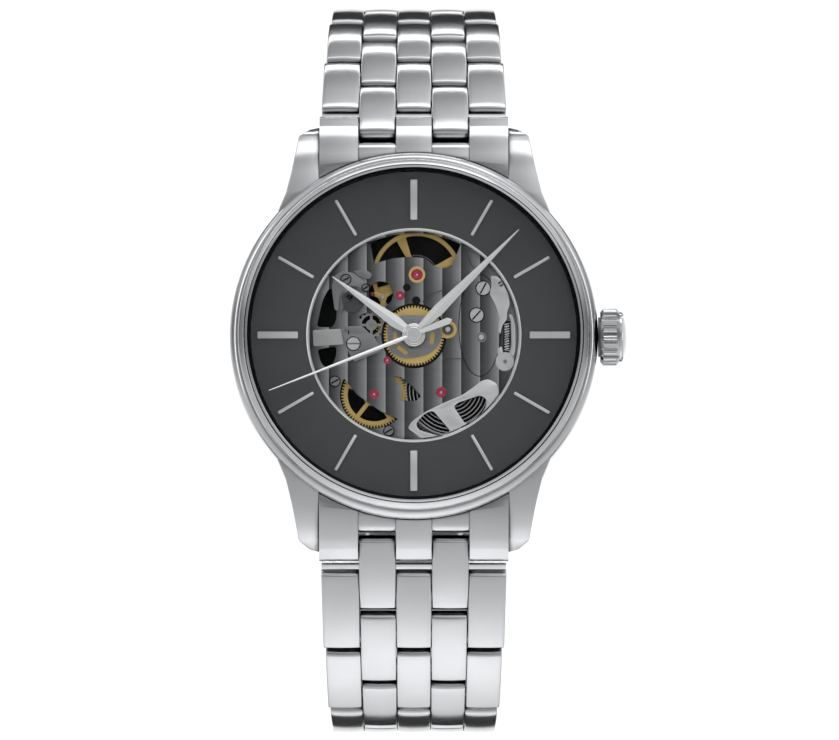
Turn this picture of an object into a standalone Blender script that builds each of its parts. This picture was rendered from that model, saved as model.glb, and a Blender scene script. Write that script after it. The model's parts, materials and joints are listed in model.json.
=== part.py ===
"""Automatic wristwatch with an open-worked dial and a five-column steel bracelet.

Every piece is modelled in millimetres in the watch's own face frame: X to 3 o'clock,
Y to 12 o'clock and Z out of the dial, with Z = 0 on the outer face of the case back.
finish() scales a piece to metres and stands the watch up, so that in the scene the dial
faces -Y and 12 o'clock is +Z.
"""
import math

import bmesh
import bpy
from mathutils import Matrix, Vector

MM = 0.001
FACE_TO_WORLD = Matrix.Rotation(math.pi / 2, 4, "X")

# Case, bezel and glass
CASE_R = 19.5
CASE_BORE_R = 16.2
CASE_Z = (1.4, 7.1)
DIAL_SEAT_Z = 6.1
DIAL_R = 17.8
DIAL_THICK = 0.4
APERTURE_R = 11.1
BEZEL_R = 18.62
BEZEL_Z = (7.15, 9.15)
GLASS_R = 17.5
GLASS_Z = (8.2, 9.4)
BACK_R = 16.9
BACK_THICK = 1.3
BACK_GLASS_R = 12.4
LUG_GAP = 20.0
LUG_TIP_Y = 22.6
SPRING_BAR = (19.75, 2.6)
CROWN_Z = 4.2
CROWN_R = 3.1

# Hands
HOUR_HAND = (10.6, 305.6, 6.85)
MINUTE_HAND = (15.75, 44.9, 7.25)
SECONDS_HAND = (16.4, 248.7, 7.65)
HAND_THICK = 0.18

# Bracelet: hinge pins a fixed step apart along a closed loop
LINK_STEP = 4.75
LINK_HALF_THICK = 1.35
LINK_OVERHANG = 2.2
FIRST_OVERHANG = 1.4
PIN_R = 0.42
BORE_R = 0.60
FIRST_PIN = (22.3, 2.55)
ANGLES_12 = (48, 50, 53, 58, 66, 75, 86, 98, 111, 125, 139, 153, 165)
ANGLES_6 = (30, 32, 44, 53, 66, 80, 93, 106, 119, 132, 145, 157, 168)
COLUMN_GAP = 0.1
WIDE_COLUMNS = (3.75, 3.85, 4.1)
NARROW_COLUMNS = (3.3, 3.4, 3.0)
TAPER_ROWS = 8.0

# Clasp, along u from the 12 o'clock hinge pin to the 6 o'clock one and w outwards
CLASP_HALF_WIDTH = 8.2
CLASP_WALL = 0.9
CLASP_TOP = (0.25, 1.3)
CLASP_WALL_DEPTH = -2.2
CLASP_CROWN = 1.6
CLASP_U = (2.6, 35.6)
BLADE_HINGE_OUTER = (35.0, -0.55)
BLADE_HINGE_INNER = (6.4, -0.95)
BLADE_HALF_WIDTH = 5.0
BUTTON_U = 19.0

# Movement: places of the arbors and outer radii of the wheels
BALANCE_AT = (0.33, 6.5)
BALANCE_R = 4.9
PALLET_AT = (-3.3, 4.2)
ESCAPE_AT = (-4.5, 1.3)
BARREL_AT = (4.0, -5.6)
BARREL_R = 5.4
INTERMEDIATE_AT = (-4.2, -6.2)
INTERMEDIATE_R = 3.45
MOVEMENT_R = 12.9

STEEL = ((0.62, 0.63, 0.65), 1.0, 0.22)
BRUSHED = ((0.55, 0.56, 0.58), 1.0, 0.4)
NICKEL = ((0.45, 0.46, 0.47), 1.0, 0.35)
GILT = ((0.80, 0.58, 0.25), 1.0, 0.3)
DARK = ((0.06, 0.06, 0.065), 0.3, 0.45)
GLASS = ((0.95, 0.97, 0.98), 0.0, 0.03)

watch = bpy.data.collections.new("wristwatch")


def clear_scene():
    for old in list(bpy.data.objects):
        bpy.data.objects.remove(old, do_unlink=True)
    bpy.context.scene.collection.children.link(watch)


def material(name, look):
    colour, metallic, roughness = look
    made = bpy.data.materials.new(name)
    made.use_nodes = True
    shader = made.node_tree.nodes["Principled BSDF"]
    shader.inputs["Base Color"].default_value = (*colour, 1.0)
    shader.inputs["Metallic"].default_value = metallic
    shader.inputs["Roughness"].default_value = roughness
    return made


def temporary(data):
    made = bpy.data.objects.new("working", data)
    watch.objects.link(made)
    return made


def settle(obj):
    """Replace an object by the plain welded mesh that its curve or modifiers give."""
    depsgraph = bpy.context.evaluated_depsgraph_get()
    mesh = bpy.data.meshes.new_from_object(obj.evaluated_get(depsgraph))
    mesh.transform(obj.matrix_world)
    bpy.data.objects.remove(obj, do_unlink=True)
    shape = bmesh.new()
    shape.from_mesh(mesh)
    bmesh.ops.remove_doubles(shape, verts=shape.verts, dist=0.002)
    bmesh.ops.recalc_face_normals(shape, faces=shape.faces)
    shape.to_mesh(mesh)
    shape.free()
    return temporary(mesh)


def turned(profile, segments=36):
    """Turn an (r, z) outline about Z. An outline that touches the axis isn't closed."""
    closed = all(r > 0 for r, _ in profile)
    count = len(profile)
    edges = [(i, (i + 1) % count) for i in range(count if closed else count - 1)]
    mesh = bpy.data.meshes.new("profile")
    mesh.from_pydata([(r, 0.0, z) for r, z in profile], edges, [])
    obj = temporary(mesh)
    screw = obj.modifiers.new("turn", "SCREW")
    screw.axis = "Z"
    screw.steps = segments
    screw.render_steps = segments
    screw.use_merge_vertices = True
    screw.merge_threshold = 0.0001
    bpy.context.view_layer.update()
    return settle(obj)


def plate(outlines, low, high):
    """Extrude flat outlines, the first the edge and the rest holes, from low to high."""
    curve = bpy.data.curves.new("outline", "CURVE")
    curve.dimensions = "2D"
    curve.fill_mode = "BOTH"
    curve.extrude = (high - low) / 2
    for outline in outlines:
        spline = curve.splines.new("POLY")
        spline.points.add(len(outline) - 1)
        for point, (x, y) in zip(spline.points, outline):
            point.co = (x, y, 0.0, 1.0)
        spline.use_cyclic_u = True
    obj = temporary(curve)
    obj.location.z = (low + high) / 2
    bpy.context.view_layer.update()
    return settle(obj)


def move(obj, matrix):
    obj.data.transform(matrix)
    return obj


def across(obj):
    """Turn a plate's (x, y, z) into (Y, Z, X): its outline becomes a side profile."""
    return move(obj, Matrix(((0, 0, 1, 0), (1, 0, 0, 0), (0, 1, 0, 0), (0, 0, 0, 1))))


def combine(base, other, operation="UNION"):
    change = base.modifiers.new("boolean", "BOOLEAN")
    change.operation = operation
    change.solver = "EXACT"
    change.object = other
    bpy.context.view_layer.update()
    result = settle(base)
    bpy.data.objects.remove(other, do_unlink=True)
    return result


def finish(name, obj, look, pivot=(0.0, 0.0, 0.0), tilt=0.0):
    """Name a piece, scale it to metres and put its origin on its pivot."""
    pivot = Vector(pivot)
    obj.data.transform(Matrix.Translation(-pivot))
    obj.data.transform(Matrix.Rotation(-tilt, 4, "X"))
    obj.data.transform(Matrix.Scale(MM, 4))
    obj.data.shade_smooth()
    obj.data.set_sharp_from_angle(angle=math.radians(35))
    obj.data.materials.clear()
    obj.data.materials.append(material(name, look))
    obj.name = name
    obj.data.name = name
    obj.matrix_world = FACE_TO_WORLD @ Matrix.Translation(pivot * MM) @ Matrix.Rotation(tilt, 4, "X")


def ring_points(radius, count, centre=(0.0, 0.0), phase=0.0):
    return [(centre[0] + radius * math.cos(phase + math.tau * i / count),
             centre[1] + radius * math.sin(phase + math.tau * i / count)) for i in range(count)]


def rod(radius, low, high, at, sides=12):
    """A rod along Z."""
    return plate([ring_points(radius, sides, at)], low, high)


def cross_rod(radius, low, high, at, sides=6):
    """A rod along X at (Y, Z)."""
    return across(plate([ring_points(radius, sides, at, math.pi / sides)], low, high))


def side_slab(outline, low, high, holes=()):
    return across(plate([outline, *holes], low, high))


# ---------------------------------------------------------------- case

def lug_pair(sign):
    """The two lugs at one end: a plan outline crossed with a side outline."""
    half = LUG_GAP / 2 + 0.05
    pair = []
    for side in (1, -1):
        plan = [(half, 15.15), (13.6, 12.15), (14.35, 13.2), (13.4, 15.4), (12.95, 17.5),
                (12.5, 19.6), (12.2, 21.4), (11.0, LUG_TIP_Y), (half, LUG_TIP_Y + 0.1)]
        flank = [(11.0, 1.5), (17.0, 1.2), (20.5, 0.35), (LUG_TIP_Y + 0.2, 0.4),
                 (LUG_TIP_Y + 0.2, 2.5), (21.2, 4.0), (19.0, 5.4), (16.5, 6.2), (11.0, 6.6)]
        lug = plate([[(side * x, sign * y) for x, y in plan]], 0.0, 8.0)
        side_cut = side_slab([(sign * y, z) for y, z in flank], -16.0, 16.0)
        lug = combine(lug, side_cut, "INTERSECT")
        hole = cross_rod(0.5, 9.0, 11.4, (sign * SPRING_BAR[0], SPRING_BAR[1]))
        if side < 0:
            hole = move(hole, Matrix.Scale(-1, 4, (1, 0, 0)))
            hole.data.flip_normals()
        pair.append(combine(lug, hole, "DIFFERENCE"))
    return pair


def case_middle():
    low, high = CASE_Z
    body = turned([(CASE_BORE_R, low), (18.1, low), (CASE_R, 2.7), (CASE_R, 6.3), (19.1, 6.95),
                   (18.7, high), (DIAL_R + 0.15, high), (DIAL_R + 0.15, DIAL_SEAT_Z),
                   (CASE_BORE_R, DIAL_SEAT_Z)], 48)
    for sign in (1, -1):
        pocket = side_slab([(sign * 18.3, 0.9), (sign * 21.0, 0.9), (sign * 21.0, 4.35),
                            (sign * 18.3, 4.35)], -LUG_GAP / 2 - 0.05, LUG_GAP / 2 + 0.05)
        body = combine(body, pocket, "DIFFERENCE")
        for lug in lug_pair(sign):
            body = combine(body, lug)
    body = combine(body, cross_rod(0.95, 15.0, 21.0, (0.0, CROWN_Z), 12), "DIFFERENCE")
    finish("case_middle", body, BRUSHED)


def case_covers():
    low, high = BEZEL_Z
    finish("bezel", turned([(GLASS_R + 0.08, low), (BEZEL_R, low), (BEZEL_R, 8.1), (18.3, 8.75),
                            (17.85, high), (GLASS_R + 0.08, high)], 48), STEEL)
    finish("crystal", turned([(0.0, GLASS_Z[0]), (GLASS_R, GLASS_Z[0]), (GLASS_R, 9.25),
                              (17.2, GLASS_Z[1]), (0.0, GLASS_Z[1])], 48), GLASS)
    neck = CASE_BORE_R - 0.15
    finish("case_back", turned([(BACK_GLASS_R + 0.05, 0.0), (16.5, 0.0), (BACK_R, 0.4),
                                (BACK_R, BACK_THICK), (neck, BACK_THICK), (neck, 2.1),
                                (15.0, 2.1), (BACK_GLASS_R + 0.05, BACK_THICK)]),
           BRUSHED)
    finish("case_back_crystal", turned([(0.0, 0.0), (BACK_GLASS_R, 0.0), (BACK_GLASS_R, 1.1),
                                        (0.0, 1.1)]), GLASS)


def crown_and_stem():
    flutes = 16
    outline = []
    for i in range(flutes):
        for part, radius in ((0.0, CROWN_R), (0.5, CROWN_R), (0.75, CROWN_R - 0.28)):
            angle = math.tau * (i + part) / flutes
            outline.append((radius * math.cos(angle), CROWN_Z + radius * math.sin(angle)))
    crown = side_slab(outline, 19.75, 21.75)
    cap = turned([(0.0, 21.0), (2.7, 21.0), (2.7, 22.1), (1.8, 22.45), (0.0, 22.55)], 24)
    spin = Matrix.Translation((0, 0, CROWN_Z)) @ Matrix.Rotation(math.pi / 2, 4, "Y")
    crown = combine(crown, move(cap, spin))
    crown = combine(crown, cross_rod(0.5, 19.0, 20.6, (0.0, CROWN_Z), 12), "DIFFERENCE")
    finish("crown", crown, STEEL, (20.0, 0.0, CROWN_Z))
    finish("winding_stem", cross_rod(0.42, 13.4, 20.5, (0.0, CROWN_Z), 12), STEEL,
           (20.0, 0.0, CROWN_Z))


def end_link(name, sign):
    """Solid end piece between the lugs; its tongues carry the first hinge pin."""
    half = LUG_GAP / 2 - 0.05
    pin_y, pin_z = FIRST_PIN
    tip = [(pin_y + FIRST_OVERHANG * math.cos(math.radians(a)),
            pin_z + FIRST_OVERHANG * math.sin(math.radians(a))) for a in (-75, -35, 0, 35, 60)]
    outline = [(16.6, 4.45), (18.45, 4.4), (18.45, 1.4), *tip, (21.3, 4.9), (19.6, 5.75), (16.6, 6.1)]
    bar_hole = ring_points(0.75, 10, SPRING_BAR)
    body = side_slab([(sign * y, z) for y, z in outline], -half, half,
                     [[(sign * y, z) for y, z in bar_hole]])
    body = combine(body, rod(CASE_R + 0.12, 4.3, 9.0, (0.0, 0.0), 64), "DIFFERENCE")
    for side in (1, -1):
        low, high = column_span(side, 0.0)
        slot = [(sign * y, z) for y, z in [(pin_y - 1.65, 0.0), (24.5, 0.0), (24.5, 6.5), (pin_y - 1.65, 6.5)]]
        body = combine(body, side_slab(slot, low - COLUMN_GAP, high + COLUMN_GAP), "DIFFERENCE")
    pin = cross_rod(PIN_R, -9.0, 9.0, (sign * pin_y, pin_z))
    body = combine(body, pin)
    finish(name, body, STEEL)


def spring_bar(name, sign):
    profile = [(0.0, -10.9), (0.38, -10.9), (0.38, -9.8), (0.62, -9.8),
               (0.62, 9.8), (0.38, 9.8), (0.38, 10.9), (0.0, 10.9)]
    bar = move(turned(profile, 12), Matrix.Rotation(math.pi / 2, 4, "Y"))
    at = (0.0, sign * SPRING_BAR[0], SPRING_BAR[1])
    finish(name, move(bar, Matrix.Translation(at)), STEEL)


# ---------------------------------------------------------------- bracelet

def column_span(column, row):
    """Left and right X of one of the five columns (-2..2) at a place along the rows."""
    part = min(max(row, 0.0) / TAPER_ROWS, 1.0)
    middle, inner, outer = (w + (n - w) * part for w, n in zip(WIDE_COLUMNS, NARROW_COLUMNS))
    edges = {0: (-middle / 2, middle / 2)}
    edges[1] = (middle / 2 + COLUMN_GAP, middle / 2 + COLUMN_GAP + inner)
    edges[2] = (edges[1][1] + COLUMN_GAP, edges[1][1] + COLUMN_GAP + outer)
    low, high = edges[abs(column)]
    return (low, high) if column >= 0 else (-high, -low)


def link_outline(start):
    """Side outline of a bracelet piece, along u from its near pin at 0, w outwards."""
    end = LINK_STEP + LINK_OVERHANG
    thick = LINK_HALF_THICK
    return [(-start + 0.5, -thick), (end - 0.5, -thick), (end, 0.2), (end - 0.3, thick),
            (-start + 0.3, thick), (-start, 0.2)]


def link_piece(column, row, start):
    near = column_span(column, row)
    far = column_span(column, row + 1.0)
    body = side_slab(link_outline(start), 0.0, 1.0, [ring_points(BORE_R, 6, (0, 0), math.pi / 6)])
    for vertex in body.data.vertices:
        part = min(max(vertex.co.y / LINK_STEP, 0.0), 1.0)
        low = near[0] + (far[0] - near[0]) * part
        high = near[1] + (far[1] - near[1]) * part
        vertex.co.x = low + (high - low) * vertex.co.x
    return body


def chain_points(angles):
    """Hinge pins along one half of the loop, as (Y, Z) for the 12 o'clock half."""
    y, z = FIRST_PIN
    points = [(y, z)]
    for angle in angles:
        y += LINK_STEP * math.cos(math.radians(angle))
        z -= LINK_STEP * math.sin(math.radians(angle))
        points.append((y, z))
    return points


def bracelet_half(prefix, angles, sign):
    points = chain_points(angles)
    for index, angle in enumerate(angles):
        columns = (-1, 1) if index % 2 == 0 else (-2, 0, 2)
        start = FIRST_OVERHANG if index == 0 else LINK_OVERHANG
        pieces = [link_piece(c, index, start) for c in columns]
        outer = column_span(2, index + 1)[1]
        reach = outer - 0.6
        if sign < 0 and index == len(angles) - 1:
            reach = column_span(1, index + 1)[1] - 0.6
        body = cross_rod(PIN_R, -reach, reach, (LINK_STEP, 0.0))
        for piece in pieces:
            body = combine(body, piece)
        place = Matrix.Translation((0, *points[index])) @ Matrix.Rotation(-math.radians(angle), 4, "X")
        body = move(body, place)
        if sign < 0:
            body = move(body, Matrix.Scale(-1, 4, (0, 1, 0)))
            body.data.flip_normals()
        pivot = (0.0, sign * points[index][0], points[index][1])
        finish(f"{prefix}_{index + 1:02d}", body, STEEL, pivot, -sign * math.radians(angle))


# ---------------------------------------------------------------- clasp

def clasp_frame():
    """Matrix from (x, u, w) in the clasp to the face frame."""
    start = Vector(chain_points(ANGLES_12)[-1])
    end = chain_points(ANGLES_6)[-1]
    end = Vector((-end[0], end[1]))
    along = (end - start).normalized()
    out = Vector((along.y, -along.x))
    if out.y > 0:
        out = -out
    return Matrix(((1, 0, 0, 0), (0, along.x, out.x, start.x), (0, along.y, out.y, start.y),
                   (0, 0, 0, 1)))


def clasp_rise(u):
    """How far the clasp bows outwards at a place along its length."""
    middle = sum(CLASP_U) / 2
    away = min(abs(u - middle) / ((CLASP_U[1] - CLASP_U[0]) / 2), 1.0)
    return CLASP_CROWN * (1.0 - away * away)


def crowned(outline):
    return [(u, w + clasp_rise(u)) for u, w in outline]


def stepped(low, high, level, count=8):
    return [(low + (high - low) * i / count, level) for i in range(count + 1)]


def strip(low, high, bottom, top):
    return stepped(low, high, bottom) + stepped(high, low, top)


def clasp_cover():
    low, high = CLASP_U
    half = CLASP_HALF_WIDTH
    body = side_slab(crowned(strip(low, high, CLASP_WALL_DEPTH, CLASP_TOP[1])), -half, half)
    inside = side_slab(crowned(strip(low - 1.0, high + 1.0, CLASP_WALL_DEPTH - 1.0, CLASP_TOP[0])),
                       CLASP_WALL - half, half - CLASP_WALL)
    body = combine(body, inside, "DIFFERENCE")
    for side in (-1, 1):
        x = sorted((side * (half - 1.6), side * (half + 0.5)))
        slot = side_slab([(BUTTON_U - 2.6, -1.3), (BUTTON_U + 2.6, -1.3), (BUTTON_U + 2.6, 0.9),
                          (BUTTON_U - 2.6, 0.9)], *x)
        body = combine(body, slot, "DIFFERENCE")
    for column in (-2, 0, 2):
        x = column_span(column, TAPER_ROWS)
        knuckle = side_slab([(-0.9, -1.1), (0.4, -1.35), (3.2, -1.35), (3.4, 1.1), (0.5, 1.3),
                             (-0.8, 1.1), (-1.3, 0.0)], *x, [ring_points(BORE_R, 6, (0, 0), math.pi / 6)])
        body = combine(body, knuckle)
    for column in (-2, 2):
        x = column_span(column, TAPER_ROWS)
        tongue = side_slab([(high - 0.4, -1.3), (41.0, -1.3), (41.4, -0.8), (41.4, 0.8),
                            (40.9, 1.25), (high - 0.4, 1.25)], *x)
        body = combine(body, tongue)
    hinge = cross_rod(BORE_R, -7.75, 7.75, BLADE_HINGE_OUTER)
    body = combine(body, hinge, "DIFFERENCE")
    pivot = (0.0, *chain_points(ANGLES_12)[-1])
    finish("clasp_cover", move(body, clasp_frame()), STEEL, pivot)


def clasp_blades():
    frame = clasp_frame()
    u_out = BLADE_HINGE_OUTER[0]
    u_in, w_in = BLADE_HINGE_INNER
    outer = side_slab(crowned(strip(u_in + 1.0, u_out + 0.2, -0.8, -0.1)), -BLADE_HALF_WIDTH, BLADE_HALF_WIDTH)
    outer = combine(outer, cross_rod(0.42, -7.6, 7.6, BLADE_HINGE_OUTER))
    bent_in = w_in + clasp_rise(u_in)
    eye = side_slab([(u_in - 0.9, bent_in - 0.35), (u_in - 0.35, bent_in - 0.9), (u_in + 0.5, bent_in - 0.85),
                     (u_in + 1.2, bent_in + 0.15), (u_in + 1.6, bent_in + 0.2),
                     (u_in + 1.6, bent_in + 0.8), (u_in - 0.35, bent_in + 0.9),
                     (u_in - 0.9, bent_in + 0.35)],
                    -2.4, 2.4, [ring_points(BORE_R, 6, (u_in, bent_in), math.pi / 6)])
    outer = combine(outer, eye)
    inner = side_slab(crowned(strip(u_in + 1.4, 33.2, -1.95, -1.2)), -BLADE_HALF_WIDTH, BLADE_HALF_WIDTH)
    tail = side_slab(crowned([(32.6, -1.9), (37.9, -1.5), (38.4, -1.0), (38.4, -0.2),
                              (37.6, -0.5), (36.4, -1.3), (32.6, -1.25)]), -1.5, 1.5)
    inner = combine(inner, tail)
    for side in (-1, 1):
        x = sorted((side * 2.6, side * (BLADE_HALF_WIDTH - 0.2)))
        ear = side_slab([(u_in - 0.9, bent_in), (u_in - 0.35, bent_in - 0.9), (u_in + 2.2, bent_in - 1.2),
                         (u_in + 2.2, bent_in - 0.6), (u_in + 0.9, bent_in - 0.1),
                         (u_in + 0.4, bent_in + 0.7), (u_in - 0.5, bent_in + 0.7)], *x)
        inner = combine(inner, ear)
    inner = combine(inner, cross_rod(0.42, -4.5, 4.5, (u_in, bent_in)))
    for name, blade, pivot in (("clasp_blade_outer", outer, BLADE_HINGE_OUTER),
                               ("clasp_blade_inner", inner, (u_in, bent_in))):
        finish(name, move(blade, frame), BRUSHED, frame @ Vector((0.0, *pivot)))


def clasp_buttons():
    frame = clasp_frame()
    for name, side in (("clasp_button_left", -1), ("clasp_button_right", 1)):
        x = sorted((side * 6.75, side * 9.0))
        face = [(BUTTON_U - 2.4, -0.9), (BUTTON_U - 2.1, -1.2), (BUTTON_U + 2.1, -1.2), (BUTTON_U + 2.4, -0.9),
                (BUTTON_U + 2.4, 0.5), (BUTTON_U + 2.1, 0.8), (BUTTON_U - 2.1, 0.8), (BUTTON_U - 2.4, 0.5)]
        button = side_slab(face, *x)
        finish(name, move(button, frame), STEEL, frame @ Vector((side * 8.0, BUTTON_U, -0.2)))


# ---------------------------------------------------------------- dial and hands

def dial():
    low, high = DIAL_SEAT_Z + 0.03, DIAL_SEAT_Z + 0.03 + DIAL_THICK
    body = turned([(APERTURE_R, low), (DIAL_R, low), (DIAL_R, high), (APERTURE_R, high)], 48)
    for hour in range(12):
        half = 0.37 if hour % 3 == 0 else 0.18
        baton = plate([[(12.25, -half), (16.55, -half), (16.55, half), (12.25, half)]], high - 0.1, high + 0.22)
        baton = move(baton, Matrix.Rotation(math.tau * hour / 12, 4, "Z"))
        body = combine(body, baton)
    finish("dial", body, DARK)


def hand(name, spec, width, hub, tail, bore):
    """A faceted hand with its hub; spec is tip radius, clock angle and height."""
    reach, clock, level = spec
    wide_at = reach * 0.25
    outline = [(tail[0], -tail[1]), (0.0, -width * 0.3), (wide_at, -width / 2), (reach, -0.06), (reach, 0.06),
               (wide_at, width / 2), (0.0, width * 0.3), (tail[0], tail[1])]
    body = plate([outline], level, level + HAND_THICK)
    body = combine(body, rod(hub, level - 0.02, level + HAND_THICK + 0.04, (0.0, 0.0), 14))
    if bore:
        body = combine(body, rod(bore, level - 1.0, level + 1.0, (0.0, 0.0), 12), "DIFFERENCE")
    body = move(body, Matrix.Rotation(math.radians(90.0 - clock), 4, "Z"))
    finish(name, body, STEEL)


def hands():
    hand("hour_hand", HOUR_HAND, 1.25, 1.15, (-1.0, 0.3), 0.62)
    hand("minute_hand", MINUTE_HAND, 1.2, 1.0, (-0.9, 0.3), 0.36)
    hand("seconds_hand", SECONDS_HAND, 0.32, 0.75, (-4.3, 0.28), 0.0)


# ---------------------------------------------------------------- movement

def toothed(radius, teeth, depth):
    points = []
    for i in range(teeth):
        for part, r in ((0.0, radius - depth), (0.5, radius)):
            angle = math.tau * (i + part) / teeth
            points.append((r * math.cos(angle), r * math.sin(angle)))
    return points


def spoke_windows(count, inner, outer, bar):
    """Openings between a wheel's spokes."""
    windows = []
    for i in range(count):
        first = math.tau * i / count
        last = math.tau * (i + 1) / count
        arc_out = [first + bar / outer + (last - first - 2 * bar / outer) * k / 4 for k in range(5)]
        arc_in = [first + bar / inner + (last - first - 2 * bar / inner) * k / 2 for k in range(3)]
        windows.append([(outer * math.cos(a), outer * math.sin(a)) for a in arc_out]
                       + [(inner * math.cos(a), inner * math.sin(a)) for a in reversed(arc_in)])
    return windows


def wheel(name, at, radius, teeth, levels, arbor, spokes, look, depth=0.3):
    """A toothed wheel on its arbor: arbor is its radius and its two ends."""
    windows = spoke_windows(spokes, radius * 0.3, radius - depth - 0.45, 0.25)
    body = plate([toothed(radius, teeth, depth), *windows], *levels)
    body = combine(body, rod(arbor[0], arbor[1], arbor[2], (0.0, 0.0), 10))
    body = move(body, Matrix.Translation((*at, 0.0)))
    finish(name, body, look, (*at, 0.0))


def hour_wheel():
    body = plate([toothed(3.2, 28, 0.25), ring_points(0.62, 12)], 5.75, 5.95)
    tube = plate([ring_points(1.05, 16), ring_points(0.62, 12)], 5.8, 6.75)
    finish("hour_wheel", combine(body, tube), GILT)


def seconds_train():
    wheel("fourth_wheel", (0.0, 0.0), 4.1, 24, (3.42, 3.56), (0.22, 3.4, 7.58), 4, GILT)
    body = plate([toothed(3.3, 24, 0.3), ring_points(0.30, 8)], 4.55, 4.75)
    tube = plate([ring_points(0.54, 12), ring_points(0.30, 8)], 4.6, 7.15)
    finish("centre_wheel", combine(body, tube), GILT)


def balance_wheel():
    windows = spoke_windows(4, 0.9, BALANCE_R - 0.5, 0.3)
    body = plate([ring_points(BALANCE_R, 40), *windows], 3.75, 4.15)
    body = combine(body, rod(0.25, 3.45, 4.7, (0.0, 0.0), 8))
    finish("balance_wheel", move(body, Matrix.Translation((*BALANCE_AT, 0.0))), GILT, (*BALANCE_AT, 0.0))


def pallet_fork():
    """Lever between the escape wheel and the balance, with two pallet arms."""
    outline = [(-0.5, -0.9), (0.15, -0.35), (0.3, -0.25), (1.7, -0.15), (1.7, 0.15), (0.3, 0.25),
               (0.15, 0.35), (-0.5, 0.9), (-0.75, 0.7), (-0.3, 0.0), (-0.75, -0.7)]
    body = plate([outline], 4.35, 4.5)
    body = combine(body, rod(0.16, 4.2, 4.7, (0.0, 0.0), 8))
    aim = math.atan2(BALANCE_AT[1] - PALLET_AT[1], BALANCE_AT[0] - PALLET_AT[0])
    place = Matrix.Translation((*PALLET_AT, 0.0)) @ Matrix.Rotation(aim, 4, "Z")
    finish("pallet_fork", move(body, place), GILT, (*PALLET_AT, 0.0))


def barrel():
    body = plate([toothed(BARREL_R, 24, 0.3)], 4.1, 4.4)
    body = combine(body, rod(BARREL_R - 0.7, 3.68, 4.45, (0.0, 0.0), 16))
    finish("barrel", move(body, Matrix.Translation((*BARREL_AT, 0.0))), STEEL, (*BARREL_AT, 0.0))


def crescent(radius, chord, count=14):
    """Segment of a disc beyond a chord, symmetric about +Y."""
    reach = math.acos(chord / radius)
    return [(radius * math.sin(-reach + 2 * reach * i / count),
             radius * math.cos(-reach + 2 * reach * i / count)) for i in range(count + 1)]


def turn_points(points, degrees):
    c, s = math.cos(math.radians(degrees)), math.sin(math.radians(degrees))
    return [(x * c - y * s, x * s + y * c) for x, y in points]


def plates():
    windows = [
        crescent(10.7, 7.4),
        turn_points(crescent(10.9, 8.3), -136),
        turn_points(crescent(10.4, 8.6, 10), 146),
        ring_points(1.5, 12, PALLET_AT),
        ring_points(2.0, 14, (ESCAPE_AT[0] + 0.1, ESCAPE_AT[1] - 0.6)),
        ring_points(0.8, 12),
        [(-8.9, 2.6), (-7.2, 2.6), (-7.0, -0.6), (-8.9, -0.6)],
    ]
    main = plate([ring_points(MOVEMENT_R, 48), *windows], 4.9, 5.65)
    main = combine(main, cross_rod(0.65, 10.5, 14.0, (0.0, CROWN_Z)), "DIFFERENCE")
    finish("main_plate", main, NICKEL)
    bridge = [(11.8, 1.2), (11.0, -3.4), (7.6, -8.8), (3.0, -11.4), (-3.4, -11.2), (-8.0, -8.4), (-11.2, -3.2),
              (-11.6, 0.6), (-6.2, 1.0), (-6.6, 3.2), (-2.8, 3.2), (-1.8, 0.8), (6.2, 1.2)]
    finish("train_bridge", plate([bridge], 2.75, 3.35), NICKEL)
    cock = [(-1.6, 4.6), (2.2, 4.6), (3.0, 8.0), (3.6, 12.1), (-3.0, 12.2), (-2.4, 8.0)]
    body = plate([cock], 2.75, 3.35)
    finish("balance_cock", combine(body, plate([crescent(12.1, 11.5, 6)], 3.0, 4.85)), NICKEL)


def movement_ring():
    body = turned([(MOVEMENT_R + 0.08, 3.0), (CASE_BORE_R - 0.1, 3.0), (CASE_BORE_R - 0.1, 6.05),
                   (MOVEMENT_R - 0.6, 6.05), (MOVEMENT_R - 0.6, 5.7), (MOVEMENT_R + 0.08, 5.7)])
    slot = cross_rod(0.85, 12.0, 17.0, (0.0, CROWN_Z), 12)
    finish("movement_ring", combine(body, slot, "DIFFERENCE"), NICKEL)


def rotor():
    steps = 20
    rim = [(12.0 * math.cos(math.pi * i / steps), -12.0 * math.sin(math.pi * i / steps)) for i in range(steps + 1)]
    inside = [(9.8 * math.cos(math.pi * i / steps), -9.8 * math.sin(math.pi * i / steps))
              for i in range(steps, -1, -1)]
    body = plate([rim + [(-1.6, 0.6), (0.0, 1.6), (1.6, 0.6)]], 1.5, 1.85)
    body = combine(body, plate([rim + inside], 1.7, 2.6))
    body = combine(body, rod(1.75, 1.5, 2.6, (0.0, 0.0), 16))
    finish("rotor", body, STEEL)


def movement():
    plates()
    movement_ring()
    hour_wheel()
    seconds_train()
    wheel("third_wheel", INTERMEDIATE_AT, INTERMEDIATE_R, 24, (4.5, 4.7), (0.25, 3.5, 4.85), 4, GILT)
    wheel("escape_wheel", ESCAPE_AT, 1.75, 15, (4.0, 4.15), (0.16, 3.45, 4.8), 4, STEEL, 0.4)
    barrel()
    balance_wheel()
    pallet_fork()
    rotor()


def main():
    clear_scene()
    case_middle()
    case_covers()
    crown_and_stem()
    end_link("end_link_12", 1)
    end_link("end_link_6", -1)
    spring_bar("spring_bar_12", 1)
    spring_bar("spring_bar_6", -1)
    bracelet_half("link_12", ANGLES_12, 1)
    bracelet_half("link_6", ANGLES_6, -1)
    clasp_cover()
    clasp_blades()
    clasp_buttons()
    dial()
    hands()
    movement()


main()
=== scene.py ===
"""Looks of the automatic wristwatch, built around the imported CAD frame.

Pieces are modelled in millimetres in the face frame: X to 3 o'clock, Y to 12 o'clock and
Z out of the dial, with Z = 0 on the case back. add() takes them to world metres.
"""
import json
import math

import bmesh
import bpy
from mathutils import Matrix, Vector


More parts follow.
